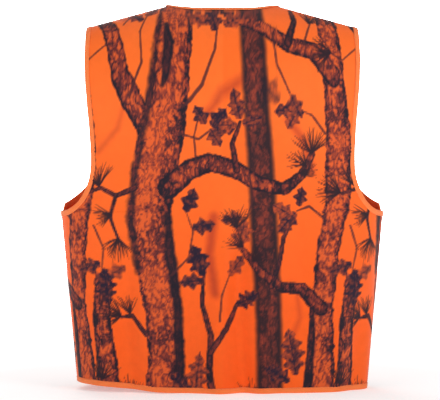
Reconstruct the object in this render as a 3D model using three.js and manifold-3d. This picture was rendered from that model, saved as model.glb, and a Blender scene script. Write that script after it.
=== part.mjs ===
// Sleeveless blaze orange field vest with a zip front, two flap pockets and bound edges.
// Millimetres, +Z up. The zip front faces -Y, the plain back faces +Y, the hem stands on z = 0.
import * as THREE from 'three';
import { mergeVertices } from 'three/addons/utils/BufferGeometryUtils.js';
import Module from 'manifold-3d';

const wasm = await Module();
wasm.setup();

// ---- Driving sizes --------------------------------------------------------

// Body of the vest
const backLength = 683; // hem up to the shoulder ridge at the neck points
const hemHalf = 255; // half width at the hem
const chestHalf = 279; // half width at the underarm
const hemDepthBack = 100; // middle plane back to the panel, at the hem
const chestDepthBack = 112; // the same at the shoulder blades
const frontDepth = 115; // middle plane forward to the straight zip line
const sectionPower = 2.4; // squareness of the rounded cross-section
const shoulderHalf = 242; // centre to the shoulder tip
const shoulderDrop = 40; // fall of the ridge from neck point to shoulder tip
const neckHalf = 95; // centre to the neck point
const neckCrown = 5; // rise of the ridge line inside the neck
const neckBackReach = 42; // neck edge behind the ridge, at the centre back
const frontNeckDrop = 98; // ridge down to the neck edge at the centre front
const underarmHeight = 315;
const armholeWaistHeight = 400; // where the armhole edge is nearest the centre
const armholeWaistHalf = 230.5;
const armholeEase = 0.8; // share of the way up to the tip over which the edge swings out
const bladeHeight = 505; // the back starts to round over above this
const sideRoundHeight = 500; // the same at the sides

// Cloth and edge tape
const panelThick = 2;
const gap = 0.3; // clearance between pieces that touch
const seamGap = 0.3;
const tapeWall = 0.8; // one layer of the edge tape
const tapeSlack = 0.7; // panel's face to the tape's layers
const armTapeWidth = 9;
const hemTapeWidth = 9;
const neckTapeWidth = 8;

// Zip
const zipChannelHalf = 6.5; // centre to the front panel's edge
const zipTapeOuter = 15; // centre to the far edge of the zip tape
const zipTapeThick = 0.7;
const zipTapeSeat = 0.5; // panel's inner face to the zip tape
const toothPitch = 6;
const toothHeight = 3.2;
const toothReach = 1.9;
const beadWidth = 1.2;
const toothTaper = 0.5; // tip shorter than the root, above and below
const railGap = 0.55; // centre to the tooth tips, room for the slider's web
const railThick = 2.4;
const sliderLength = 10;
const sliderHalf = 4.8;
const sliderPlate = 1.4;
const sliderWeb = 0.5;
const sliderWrap = 0.8;
const stopHeight = 3;
const boxHeight = 8;
const boxHalf = 4.7;
const boxWall = 0.9;
const pinSeat = 2; // box's floor below the pin
const pinLength = 13;
const pullLength = 25;
const pullHalf = 3.5;
const pullThick = 1.2;
const bailHalf = 1;
const bailLength = 8;
const bailBar = 1.3;
const bailHole = 1.9;
const bailPost = 1.4;

// Pockets
const pocketWidth = 140;
const pocketHeight = 165;
const pocketBottom = 48;
const pocketInner = 38; // centre to the pocket's near edge
const pocketThick = 1.5;
const pocketSeat = 0.8; // panel's outer face to the pocket
const flapOverlap = 32; // flap's lower edge below the pocket's mouth
const flapRise = 13; // flap's seam above the pocket's mouth
const flapSide = 4; // flap wider than the pocket on each side
const flapThick = 1.5;
const flapStandOff = 3.8; // pocket to flap at the snap
const flapKneeRise = 2; // flap starts to lift this far above the pocket's mouth
const flapElbowRise = 7; // and has its full lift this far above the snap
const snapRadius = 6.2;
const snapAbove = 13; // snap's middle above the flap's lower edge
const snapSeat = 0.5; // flap's cloth to the snap's cap and socket
const snapBase = 5; // radius of the stud's foot and of the socket
const studFoot = 0.8;
const studNeck = 1.7;
const studBulge = 2.1;
const studHeight = 2.6;
const socketBore = 2.7;
const socketHeight = 1.9;
const capRim = 0.5;
const capHeight = 1.6;

// Inside the neck and shoulders
const loopHalf = 26;
const loopDrop = 30;
const loopBand = 7;
const loopThick = 1.2;
const loopCorner = 3;
const labelWidth = 54;
const labelHeight = 36;
const labelThick = 0.6;
const labelDrop = 48; // neck tape's edge down to the label
const seamTapeWidth = 14;
const seamTapeThick = 0.8;
const facetSag = 0.75; // room for the flat facets of the rounded panels
const ridgeSagShare = 0.00787; // the same under the shoulder ridge, for each mm of rise above the blades

// Mesh fineness
const acrossShoulder = 6;
const acrossNeck = 5;
const sideRows = 7;
const armLowRows = 8;
const armHighRows = 10;
const relaxRounds = 400;
const snapSides = 20;
const pocketColumns = 8;
const pocketRows = 4;

const BACK = 1;
const FRONT = -1;

// ---- Materials ------------------------------------------------------------

const cloth = (color) => new THREE.MeshStandardMaterial({ color, roughness: 0.85, metalness: 0 });
const plastic = (color) => new THREE.MeshStandardMaterial({ color, roughness: 0.4, metalness: 0 });
const metal = (color) => new THREE.MeshStandardMaterial({ color, roughness: 0.35, metalness: 0.9 });
const printedOrange = () => cloth(0xe0713e);
const plainOrange = () => cloth(0xff7d3c);
const labelWhite = () => cloth(0xe9e6df);
const moulded = () => plastic(0x1c1b1d);
const blackMetal = () => metal(0x2b2a2c);

// ---- The body surface -----------------------------------------------------

// Arc fractions of the rounded section, so that p = 0..1 steps evenly from centre to side.
const arcSteps = 400;
const arcTable = [0];
for (let k = 1; k <= arcSteps; k++) {
  const [x0, y0] = sectionAt(((k - 1) / arcSteps) * Math.PI * 0.5);
  const [x1, y1] = sectionAt((k / arcSteps) * Math.PI * 0.5);
  arcTable.push(arcTable[k - 1] + Math.hypot((x1 - x0) * chestHalf, (y1 - y0) * chestDepthBack));
}
const quarterGirth = arcTable[arcSteps];

function sectionAt(angle) {
  const power = 2 / sectionPower;
  return [Math.max(Math.sin(angle), 0) ** power, Math.max(Math.cos(angle), 0) ** power];
}

// Angle on the section for an arc fraction from the centre (0) to the side (1).
function angleAt(p) {
  const wanted = Math.min(Math.max(p, 0), 1) * quarterGirth;
  let k = 1;
  while (k < arcSteps && arcTable[k] < wanted) k++;
  const part = (wanted - arcTable[k - 1]) / (arcTable[k] - arcTable[k - 1]);
  return ((k - 1 + Math.min(part, 1)) / arcSteps) * Math.PI * 0.5;
}

// Arc fraction for a share of the half width, the inverse of the section's x.
function fractionAt(share) {
  const angle = Math.asin(Math.min(Math.max(share, 0), 1) ** (sectionPower / 2));
  const k = Math.min(Math.floor((angle / (Math.PI * 0.5)) * arcSteps), arcSteps - 1);
  const part = (angle / (Math.PI * 0.5)) * arcSteps - k;
  return (arcTable[k] + (arcTable[k + 1] - arcTable[k]) * part) / quarterGirth;
}

function halfWidthAt(z) {
  return hemHalf + (chestHalf - hemHalf) * Math.min(Math.max(z / underarmHeight, 0), 1);
}

function depthAt(face, z) {
  if (face === FRONT) return frontDepth;
  const rise = Math.min(Math.max(z / bladeHeight, 0), 1);
  return hemDepthBack + (chestDepthBack - hemDepthBack) * Math.sin((rise * Math.PI) / 2);
}

function ridgeAt(x) {
  const far = Math.abs(x);
  if (far > neckHalf) {
    return backLength - (shoulderDrop * (far - neckHalf)) / (shoulderHalf - neckHalf);
  }
  return backLength + neckCrown * (1 - (far / neckHalf) ** 2);
}

// Height where the panel starts to round over to the ridge.
function roundHeightAt(face, p) {
  const centre = face === BACK ? bladeHeight : backLength - frontNeckDrop;
  return sideRoundHeight + (centre - sideRoundHeight) * Math.cos((Math.abs(p) * Math.PI) / 2) ** 2;
}

// A site is a place on the body: face, signed arc fraction p, and v, the height along the panel.
function bodyPoint({ face, p, v }) {
  const round = roundHeightAt(face, p);
  const [shareX, shareY] = sectionAt(angleAt(Math.abs(p)));
  const x = Math.sign(p) * shareX * halfWidthAt(Math.min(v, round));
  const depth = depthAt(face, Math.min(v, round)) * shareY;
  if (v <= round) return new THREE.Vector3(x, face * depth, v);
  const rise = ridgeAt(x) - round;
  const angle = (Math.min((v - round) / rise, 1) * Math.PI) / 2;
  return new THREE.Vector3(x, face * depth * Math.cos(angle), round + rise * Math.sin(angle));
}

// The v of the ridge for a column.
function ridgeV(face, p) {
  const x = sectionAt(angleAt(Math.abs(p)))[0] * chestHalf;
  return ridgeAt(x);
}

// Unit tangents along p and v, and the outward normal, from small steps inside the panel.
function surfaceFrame(site) {
  const stepP = 0.002;
  const stepV = 0.4;
  const signP = site.p >= 0 ? 1 : -1;
  const top = ridgeV(site.face, site.p);
  const highV = Math.min(site.v + stepV, top);
  const farP = Math.min(Math.abs(site.p) + stepP, 1);
  const nearP = Math.abs(site.p) - stepP;
  const alongV = bodyPoint({ ...site, v: highV }).sub(bodyPoint({ ...site, v: highV - 2 * stepV }));
  const outerSite = { ...site, p: signP * farP, v: Math.min(site.v, ridgeV(site.face, farP)) };
  const innerSite = { ...site, p: signP * nearP, v: site.v };
  if (site.onRidge) {
    outerSite.v = ridgeV(site.face, farP);
    innerSite.v = ridgeV(site.face, Math.abs(nearP));
  }
  const alongP = bodyPoint(outerSite).sub(bodyPoint(innerSite)).multiplyScalar(signP);
  const normal = new THREE.Vector3().crossVectors(alongP, alongV).normalize();
  const place = bodyPoint(site);
  const outward = new THREE.Vector3(place.x, place.y, 0).normalize();
  outward.z = site.v > roundHeightAt(site.face, site.p) ? 1 : 0;
  if (normal.dot(outward) < 0) normal.negate();
  if (Math.abs(place.y) < 1e-6) normal.y = 0; // on the side seams and the ridge
  if (site.v === 0) normal.z = 0; // keeps the hem's edge flat
  normal.normalize();
  return { place, normal, alongP: alongP.divideScalar(farP - nearP), alongV };
}

// Moves a site by a small 3-D step, keeping it on the surface.
function stepOnSurface(site, move) {
  const stepV = 0.8;
  const { alongP, alongV } = surfaceFrame(site);
  const perV = alongV.clone().divideScalar(stepV);
  const a = alongP.dot(alongP);
  const b = alongP.dot(perV);
  const c = perV.dot(perV);
  const along = alongP.dot(move);
  const up = perV.dot(move);
  const det = a * c - b * b;
  const p = site.p + (along * c - up * b) / det;
  const v = site.v + (up * a - along * b) / det;
  return { face: site.face, p, v };
}

// ---- Outlines on the surface (right-hand half, p >= 0) -----------------------

function siteFromXZ(face, x, z) {
  const p = fractionAt(x / halfWidthAt(z));
  const round = roundHeightAt(face, p);
  if (z <= round) return { face, p, v: z };
  const rise = ridgeAt(x) - round;
  const angle = Math.asin(Math.min((z - round) / rise, 1));
  return { face, p, v: round + (rise * angle * 2) / Math.PI };
}

// Armhole edge in the back view: a quarter ellipse under the arm, then a long easy curve.
function armholeX(z) {
  const easeLength = armholeEase * (backLength - shoulderDrop - armholeWaistHeight);
  const part = Math.min((z - armholeWaistHeight) / easeLength, 1);
  return armholeWaistHalf + (shoulderHalf - armholeWaistHalf) * part * part * (3 - 2 * part);
}

function armholeSites(face) {
  const sites = [];
  for (let k = 0; k <= armLowRows; k++) {
    const angle = (1 - k / armLowRows) * Math.PI * 0.5;
    const x = chestHalf - (chestHalf - armholeWaistHalf) * Math.cos(angle);
    const z = armholeWaistHeight - (armholeWaistHeight - underarmHeight) * Math.sin(angle);
    sites.push(siteFromXZ(face, x, z));
  }
  const tipP = fractionAt(shoulderHalf / chestHalf);
  const tipV = ridgeV(face, tipP);
  for (let k = 1; k < armHighRows; k++) {
    const v = armholeWaistHeight + ((tipV - armholeWaistHeight) * k) / armHighRows;
    let p = tipP;
    for (let round = 0; round < 4; round++) {
      p = fractionAt(armholeX(bodyPoint({ face, p, v }).z) / chestHalf);
    }
    sites.push({ face, p, v });
  }
  sites.push({ face, p: tipP, v: tipV, onRidge: true });
  return sites;
}

// Neck edge from the neck point (on the ridge) to the centre.
function neckSites(face) {
  const sites = [];
  for (let k = 0; k <= acrossNeck; k++) {
    const angle = (k / acrossNeck) * Math.PI * 0.5;
    const share = Math.cos(angle);
    const edge = face === FRONT ? zipChannelHalf : 0;
    const x = edge + (neckHalf - edge) * share;
    const p = fractionAt(x / chestHalf);
    const round = roundHeightAt(face, p);
    const rise = ridgeAt(x) - round;
    let turn = Math.PI * 0.5 * share ** 1.3;
    if (face === BACK) {
      const y = neckBackReach * Math.max(1 - share ** 3, 0) ** (1 / 2);
      turn = Math.acos(Math.min(y / bodyPoint({ face, p, v: round }).y, 1));
    }
    sites.push({ face, p, v: round + (rise * turn * 2) / Math.PI });
  }
  sites[0] = { face, p: fractionAt(neckHalf / chestHalf), v: 0, onRidge: true };
  sites[0].v = ridgeV(face, sites[0].p);
  return sites;
}

// Sites a tape's width inside an edge; the two ends stay on their seam lines.
function insetSites(edge, width, inwardHint) {
  const face = edge[0].face;
  return edge.map((site, k) => {
    const { place, normal } = surfaceFrame(site);
    const before = bodyPoint(edge[Math.max(k - 1, 0)]);
    const after = bodyPoint(edge[Math.min(k + 1, edge.length - 1)]);
    const tangent = after.sub(before).normalize();
    if (k === 0 || k === edge.length - 1) {
      if (Math.abs(place.y) < 1e-6) tangent.set(0, 1, 0);
      else tangent.set(1, 0, 0);
    }
    const inward = new THREE.Vector3().crossVectors(normal, tangent).normalize();
    if (inward.dot(inwardHint(place)) < 0) inward.negate();
    const inset = stepOnSurface(site, inward.multiplyScalar(width));
    if (site.onRidge) {
      const x = place.x + inward.x;
      const p = fractionAt(x / chestHalf);
      return { face, p, v: ridgeV(face, p), onRidge: true };
    }
    if (k === edge.length - 1 && face === FRONT) {
      inset.p = fractionAt(zipChannelHalf / halfWidthAt(inset.v));
    }
    if (k === edge.length - 1 && face === BACK) inset.p = 0;
    return inset;
  });
}

// ---- Panels -----------------------------------------------------------------

// Every outline and grid point of one half panel, shared by the panel and by the edge tapes.
function layOutHalf(face) {
  const arm = armholeSites(face);
  const armInset = insetSites(arm, armTapeWidth, (at) => new THREE.Vector3(-1, at.y * 0.01, -1));
  armInset[0] = { face, p: 1, v: underarmHeight - armTapeWidth };
  const neck = neckSites(face);
  const neckInset = insetSites(neck, neckTapeWidth, (at) => new THREE.Vector3(at.x, face * 60, -60));

  const columns = acrossNeck + acrossShoulder;
  const side = [{ face, p: 1, v: 0 }, { face, p: 1, v: hemTapeWidth }];
  const sideTop = underarmHeight - armTapeWidth;
  for (let k = 1; k < sideRows; k++) {
    side.push({ face, p: 1, v: hemTapeWidth + ((sideTop - hemTapeWidth) * k) / sideRows });
  }
  const right = [...side, ...armInset];
  const rows = right.length - 1;

  const top = [...neckInset].reverse();
  const firstP = neckInset[0].p;
  const lastP = armInset[armInset.length - 1].p;
  for (let k = 1; k <= acrossShoulder; k++) {
    const p = firstP + ((lastP - firstP) * k) / acrossShoulder;
    top.push({ face, p, v: ridgeV(face, p), onRidge: true });
  }

  const centreTop = neckInset[acrossNeck].v;
  const edgeP = (v) => (face === FRONT ? fractionAt(zipChannelHalf / halfWidthAt(v)) : 0);
  const left = right.map((site, row) => {
    let v = site.v;
    const bend = side.length;
    if (row >= bend) v = sideTop + ((centreTop - sideTop) * (row - bend)) / (rows - bend);
    return { face, p: edgeP(v), v };
  });
  left[rows] = top[0];

  const grid = [];
  for (let row = 0; row <= rows; row++) {
    const line = [];
    for (let col = 0; col <= columns; col++) {
      if (row === rows) line.push(top[col]);
      else if (col === 0) line.push(left[row]);
      else if (col === columns) line.push(right[row]);
      else {
        const share = col / columns;
        const topShare = row / rows;
        const v = left[row].v + (right[row].v - left[row].v) * share;
        const p = share + (top[col].p - share * 1) * topShare * topShare;
        line.push({ face, p: Math.max(p, left[row].p + 0.01 * col), v });
      }
    }
    grid.push(line);
  }
  for (let col = 1; col < columns; col++) {
    grid[0][col].p = left[0].p + ((1 - left[0].p) * col) / columns;
    grid[1][col].p = left[1].p + ((1 - left[1].p) * col) / columns;
  }
  relax(grid);
  return { face, arm, armInset, neck, neckInset, grid };
}

// Laplace smoothing of the inner grid points; the border and the hem's two rows stay.
function relax(grid) {
  const rows = grid.length - 1;
  const columns = grid[0].length - 1;
  for (let round = 0; round < relaxRounds; round++) {
    for (let row = 2; row < rows; row++) {
      for (let col = 1; col < columns; col++) {
        const around = [grid[row - 1][col], grid[row + 1][col], grid[row][col - 1], grid[row][col + 1]];
        grid[row][col].p = around.reduce((sum, site) => sum + site.p, 0) / 4;
        grid[row][col].v = around.reduce((sum, site) => sum + site.v, 0) / 4;
      }
    }
  }
}

function stripQuads(lineA, lineB) {
  const quads = [];
  for (let k = 0; k + 1 < lineA.length; k++) {
    quads.push([lineA[k], lineA[k + 1], lineB[k + 1], lineB[k]]);
  }
  return quads;
}

function halfPanelQuads(half) {
  const quads = [];
  const { grid, arm, armInset, neck, neckInset } = half;
  for (let row = 0; row + 1 < grid.length; row++) quads.push(...stripQuads(grid[row], grid[row + 1]));
  quads.push(...stripQuads(armInset, arm), ...stripQuads(neckInset, neck));
  return quads;
}

const mirrored = (site) => ({ ...site, p: -site.p });
const mirrorQuads = (quads) => quads.map((quad) => quad.map(mirrored));

// Two triangles of a quad, split along its shorter diagonal; a triangle stays as it is.
function halvesOf([a, b, c, d], at) {
  if (d === undefined) return [[a, b, c]];
  const split = at(a).distanceTo(at(c)) <= at(b).distanceTo(at(d));
  return split ? [[a, b, c], [a, c, d]] : [[a, b, d], [b, c, d]];
}

// Closed solid between two offsets of a patch of the body surface.
function sheetSolid(quads, outerOf, innerOf, seamed = false) {
  const keys = new Map();
  const sites = [];
  const faces = quads.map((quad) => quad.map((site) => {
    const key = `${site.face},${Math.round(site.p * 1e5)},${Math.round(site.v * 100)}`;
    if (!keys.has(key)) {
      keys.set(key, sites.length);
      sites.push(site);
    }
    return keys.get(key);
  }));
  const positions = [];
  const place = (offsetOf) => sites.forEach((site) => {
    const frame = surfaceFrame(site);
    const point = frame.place.clone().addScaledVector(frame.normal, offsetOf(site));
    if (seamed && Math.abs(frame.place.y) < 1e-6) point.y = (site.face * seamGap) / 2;
    positions.push(point.x, point.y, point.z);
  });
  place(outerOf);
  place(innerOf);
  const count = sites.length;
  const at = (k) => new THREE.Vector3().fromArray(positions, 3 * k);
  const middle = (k) => bodyPoint(sites[k]);
  const index = [];
  const border = new Map();
  for (const face of faces) {
    const cross = at(face[2]).sub(at(face[0])).cross(at(face[3]).sub(at(face[1])));
    const facing = cross.dot(surfaceFrame(sites[face[0]]).normal) > 0;
    const loop = facing ? face : [...face].reverse();
    const rim = loop.filter((corner, k) => corner !== loop[(k + 1) % loop.length]);
    for (const [a, b, c] of halvesOf(rim, middle)) {
      index.push(a, b, c);
      index.push(a + count, c + count, b + count);
    }
    rim.forEach((from, k) => {
      const to = rim[(k + 1) % rim.length];
      if (border.has(`${to},${from}`)) border.delete(`${to},${from}`);
      else border.set(`${from},${to}`, [from, to]);
    });
  }
  for (const [from, to] of border.values()) {
    index.push(from, from + count, to + count, from, to + count, to);
  }
  return solidGeometry(positions, index);
}

function solidGeometry(positions, index) {
  const geometry = new THREE.BufferGeometry();
  geometry.setAttribute('position', new THREE.Float32BufferAttribute(positions, 3));
  geometry.setIndex(index);
  geometry.computeVertexNormals();
  return geometry;
}

// ---- Edge tapes -------------------------------------------------------------

// The eight corners of a folded tape round a panel's edge, at one place along it.
function tapeRing(edge, inset) {
  const outward = edge.place.clone().sub(inset.place).normalize();
  const near = panelThick / 2 + tapeSlack;
  const far = near + tapeWall;
  const fold = edge.place.clone().addScaledVector(outward, gap + tapeWall);
  const inside = edge.place.clone().addScaledVector(outward, gap);
  const on = (base, normal, offset) => base.clone().addScaledVector(normal, offset);
  return [
    on(inset.place, inset.normal, far),
    on(fold, edge.normal, far),
    on(fold, edge.normal, -far),
    on(inset.place, inset.normal, -far),
    on(inset.place, inset.normal, -near),
    on(inside, edge.normal, -near),
    on(inside, edge.normal, near),
    on(inset.place, inset.normal, near),
  ];
}
const ringInset = [true, false, false, true, true, false, false, true];

// Folded tape along an edge. Its layers are split into triangles as the panel's edge strip is.
function edgeTape(edgeSites, insetSites, closed) {
  const edges = edgeSites.map(surfaceFrame);
  const insets = insetSites.map(surfaceFrame);
  const rings = edges.map((edge, k) => tapeRing(edge, insets[k]));
  const size = ringInset.length;
  const positions = rings.flat().flatMap((point) => point.toArray());
  const index = [];
  const last = closed ? rings.length : rings.length - 1;
  for (let k = 0; k < last; k++) {
    const next = (k + 1) % rings.length;
    const risingLength = insets[k].place.distanceTo(edges[next].place);
    const fallingLength = edges[k].place.distanceTo(insets[next].place);
    const fromInset = risingLength <= fallingLength;
    for (let corner = 0; corner < size; corner++) {
      const after = (corner + 1) % size;
      const a = k * size + corner;
      const b = k * size + after;
      const c = next * size + after;
      const d = next * size + corner;
      if (ringInset[corner] === fromInset) index.push(a, b, c, a, c, d);
      else index.push(a, b, d, b, c, d);
    }
  }
  if (!closed) {
    const cap = [[0, 1, 6, 7], [1, 2, 5, 6], [2, 3, 4, 5]];
    const end = (rings.length - 1) * size;
    for (const [a, b, c, d] of cap) {
      index.push(a, c, b, a, d, c);
      index.push(end + a, end + b, end + c, end + a, end + c, end + d);
    }
  }
  const geometry = solidGeometry(positions, index);
  return volumeOf(geometry) > 0 ? geometry : turnedInsideOut(geometry);
}

function volumeOf(geometry) {
  const at = geometry.getAttribute('position');
  const index = geometry.getIndex().array;
  const corner = (k) => new THREE.Vector3().fromBufferAttribute(at, index[k]);
  let sum = 0;
  for (let k = 0; k < index.length; k += 3) sum += corner(k).dot(corner(k + 1).cross(corner(k + 2)));
  return sum / 6;
}

function turnedInsideOut(geometry) {
  const index = Array.from(geometry.getIndex().array);
  for (let k = 0; k < index.length; k += 3) [index[k + 1], index[k + 2]] = [index[k + 2], index[k + 1]];
  geometry.setIndex(index);
  geometry.computeVertexNormals();
  return geometry;
}

// ---- Small solids -------------------------------------------------------------

function block(x0, x1, y0, y1, z0, z1) {
  const geometry = new THREE.BoxGeometry(x1 - x0, y1 - y0, z1 - z0);
  return geometry.translate((x0 + x1) / 2, (y0 + y1) / 2, (z0 + z1) / 2);
}

// Extrudes an outline of [x, z] points along Y from y0 to y1, with an optional window.
function plateXZ(points, y0, y1, window = null) {
  const corners = (list) => list.map(([x, z]) => new THREE.Vector2(x, z));
  const shape = new THREE.Shape(corners(points));
  if (window) shape.holes.push(new THREE.Path(corners(window)));
  const geometry = new THREE.ExtrudeGeometry(shape, { depth: y1 - y0, bevelEnabled: false });
  return geometry.rotateX(Math.PI / 2).translate(0, y1, 0);
}

// Extrudes an outline of [x, y] points along Z from z0 to z1.
function plateXY(points, z0, z1) {
  const shape = new THREE.Shape(points.map(([x, y]) => new THREE.Vector2(x, y)));
  const geometry = new THREE.ExtrudeGeometry(shape, { depth: z1 - z0, bevelEnabled: false });
  return geometry.translate(0, 0, z0);
}

const rectangle = (x0, x1, z0, z1) => [[x0, z0], [x1, z0], [x1, z1], [x0, z1]];
const mirrorX = (points, side) => (side > 0 ? points : points.map(([x, z]) => [-x, z]).reverse());

// Turned solid from [radius, height] points, standing on the body surface at an offset.
function turnedOn(site, offset, profile, closed = false) {
  const points = profile.map(([radius, height]) => new THREE.Vector2(radius, height));
  if (closed) points.push(points[0].clone());
  const geometry = new THREE.LatheGeometry(points, snapSides);
  const { place, normal } = surfaceFrame(site);
  const turn = new THREE.Quaternion().setFromUnitVectors(new THREE.Vector3(0, 1, 0), normal);
  geometry.applyQuaternion(turn);
  const base = place.addScaledVector(normal, offset);
  return geometry.translate(base.x, base.y, base.z);
}

function toManifold(geometry) {
  const bare = new THREE.BufferGeometry();
  bare.setAttribute('position', geometry.getAttribute('position').clone());
  if (geometry.getIndex()) bare.setIndex(geometry.getIndex().clone());
  const merged = mergeVertices(bare, 1e-4);
  const mesh = new wasm.Mesh({
    numProp: 3,
    vertProperties: new Float32Array(merged.getAttribute('position').array),
    triVerts: new Uint32Array(merged.getIndex().array),
  });
  return new wasm.Manifold(mesh);
}

function fromManifold(solid) {
  const mesh = solid.getMesh();
  return solidGeometry(Array.from(mesh.vertProperties), Array.from(mesh.triVerts));
}

const joined = (...parts) => fromManifold(wasm.Manifold.union(parts.map(toManifold)));
const cutFrom = (whole, ...tools) => fromManifold(
  toManifold(whole).subtract(wasm.Manifold.union(tools.map(toManifold))),
);

// ---- Scene ------------------------------------------------------------------

const vest = new THREE.Group();
const hemLift = gap + tapeWall; // the folded hem tape reaches this far below the panels
vest.position.z = hemLift;

function add(name, geometry, material) {
  const mesh = new THREE.Mesh(geometry, material);
  mesh.name = name;
  vest.add(mesh);
  return mesh;
}

const halfThick = () => panelThick / 2;
const minusHalfThick = () => -panelThick / 2;
const backHalf = layOutHalf(BACK);
const frontHalf = layOutHalf(FRONT);
const hands = [['left', 1], ['right', -1]]; // the wearer's left is +X

// Cloth panels
const backQuads = halfPanelQuads(backHalf);
add('back_panel', sheetSolid([...backQuads, ...mirrorQuads(backQuads)], halfThick, minusHalfThick, true),
  printedOrange());
const frontQuads = halfPanelQuads(frontHalf);
for (const [hand, side] of hands) {
  const quads = side > 0 ? frontQuads : mirrorQuads(frontQuads);
  add(`front_panel_${hand}`, sheetSolid(quads, halfThick, minusHalfThick, true), printedOrange());
}

// Edge tapes
const flipped = (sites, side) => (side > 0 ? sites : sites.map(mirrored));
for (const [hand, side] of hands) {
  const edge = [...frontHalf.arm, ...[...backHalf.arm].reverse().slice(1, -1)];
  const inset = [...frontHalf.armInset, ...[...backHalf.armInset].reverse().slice(1, -1)];
  add(`armhole_binding_${hand}`, edgeTape(flipped(edge, side), flipped(inset, side), true), plainOrange());
}

// An open tape runs from the right front, behind the body, to the left front.
function openTape(frontLine, backLine) {
  const half = [...[...frontLine].reverse(), ...backLine.slice(1)];
  return [...half.map(mirrored), ...[...half].reverse().slice(1)];
}
const neckEdge = openTape(frontHalf.neck, backHalf.neck);
const neckInset = openTape(frontHalf.neckInset, backHalf.neckInset);
add('neck_binding', edgeTape(neckEdge, neckInset, false), plainOrange());

const hemLine = (half, row) => [...half.grid[row]].reverse();
const hemEdge = openTape(hemLine(frontHalf, 0), hemLine(backHalf, 0));
const hemInset = openTape(hemLine(frontHalf, 1), hemLine(backHalf, 1));
add('hem_binding', edgeTape(hemEdge, hemInset, false), plainOrange());

// Shoulder seam tapes, inside along the ridge between the neck and armhole tapes
const ridgeSag = ridgeSagShare * (backLength - bladeHeight);
const seamTapeOffset = panelThick / 2 + gap + ridgeSag;
for (const [hand, side] of hands) {
  const startP = backHalf.neckInset[0].p + (2 * gap) / quarterGirth;
  const endP = backHalf.armInset[backHalf.armInset.length - 1].p - (2 * gap) / quarterGirth;
  const lines = { front: [], ridge: [], back: [] };
  for (let k = 0; k <= acrossShoulder; k++) {
    const p = startP + ((endP - startP) * k) / acrossShoulder;
    const below = (face) => {
      const round = roundHeightAt(face, p);
      const rise = ridgeV(face, p) - round;
      const depth = Math.abs(bodyPoint({ face, p, v: round }).y);
      return { face, p, v: ridgeV(face, p) - (seamTapeWidth * rise) / (Math.PI * depth) };
    };
    lines.front.push(below(FRONT));
    lines.ridge.push({ face: BACK, p, v: ridgeV(BACK, p), onRidge: true });
    lines.back.push(below(BACK));
  }
  const quads = [...stripQuads(lines.front, lines.ridge), ...stripQuads(lines.ridge, lines.back)];
  const handed = side > 0 ? quads : mirrorQuads(quads);
  add(`shoulder_seam_tape_${hand}`,
    sheetSolid(handed, () => -seamTapeOffset, () => -seamTapeOffset - seamTapeThick), plainOrange());
}

// ---- Zip -------------------------------------------------------------------

const zipY = -(frontDepth - panelThick / 2 - zipTapeSeat - zipTapeThick / 2); // middle of the zip
const zipTapeBottom = hemTapeWidth + gap;
const zipTapeTop = frontHalf.neckInset[acrossNeck].v - gap;
const beadInner = railGap + toothReach;
const beadOuter = beadInner + beadWidth;
const boxBottom = 1;
const boxTop = boxBottom + boxHeight;
const stopTop = zipTapeTop - gap;
const stopBottom = stopTop - stopHeight;
const teethTop = stopBottom - gap;
const sliderTop = stopBottom - gap;
const sliderBottom = sliderTop - sliderLength;
const sliderMiddle = (sliderTop + sliderBottom) / 2;
const pinBottom = boxBottom + pinSeat;
const pinTop = pinBottom + pinLength;
const plateInner = railThick / 2 + gap;
const plateOuter = plateInner + sliderPlate;

for (const [hand, side] of hands) {
  const tapeOutline = mirrorX(rectangle(beadOuter + gap, zipTapeOuter, zipTapeBottom, zipTapeTop), side);
  add(`zipper_tape_${hand}`,
    plateXZ(tapeOutline, zipY - zipTapeThick / 2, zipY + zipTapeThick / 2), plainOrange());

  // Teeth joined by their bead, as one comb; the left one starts above the pin.
  const start = side > 0 ? pinTop + gap : boxTop + gap;
  const comb = [[beadOuter, start], [beadOuter, teethTop], [beadInner, teethTop]];
  const teeth = Math.floor((teethTop - start) / toothPitch);
  const offset = side > 0 ? (toothPitch - toothHeight) / 2 : 0;
  for (let k = teeth - 1; k >= 0; k--) {
    const z = start + offset + k * toothPitch;
    comb.push([beadInner, z + toothHeight], [railGap, z + toothHeight - toothTaper]);
    comb.push([railGap, z + toothTaper], [beadInner, z]);
  }
  comb.push([beadInner, start]);
  const outline = comb.filter(([x, z], k) => {
    if (k === 0) return true;
    const [lastX, lastZ] = comb[k - 1];
    return Math.hypot(x - lastX, z - lastZ) > 0.01;
  });
  add(`zipper_teeth_${hand}`,
    plateXZ(mirrorX(outline, side), zipY - railThick / 2, zipY + railThick / 2), moulded());

  const stop = mirrorX(rectangle(railGap, beadOuter, stopBottom, stopTop), side);
  add(`top_stop_${hand}`, plateXZ(stop, zipY - plateOuter, zipY + plateOuter), blackMetal());
}

add('insertion_pin',
  block(railGap, beadInner, zipY - railThick / 2, zipY + railThick / 2, pinBottom, pinTop), moulded());
const boxDeep = railThick / 2 + gap + boxWall;
add('retainer_box', cutFrom(
  block(-boxHalf, boxHalf, zipY - boxDeep, zipY + boxDeep, boxBottom, boxTop),
  block(railGap - gap, beadInner + gap, zipY - railThick / 2 - gap, zipY + railThick / 2 + gap,
    pinBottom - gap, boxTop + 1),
), moulded());

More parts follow.
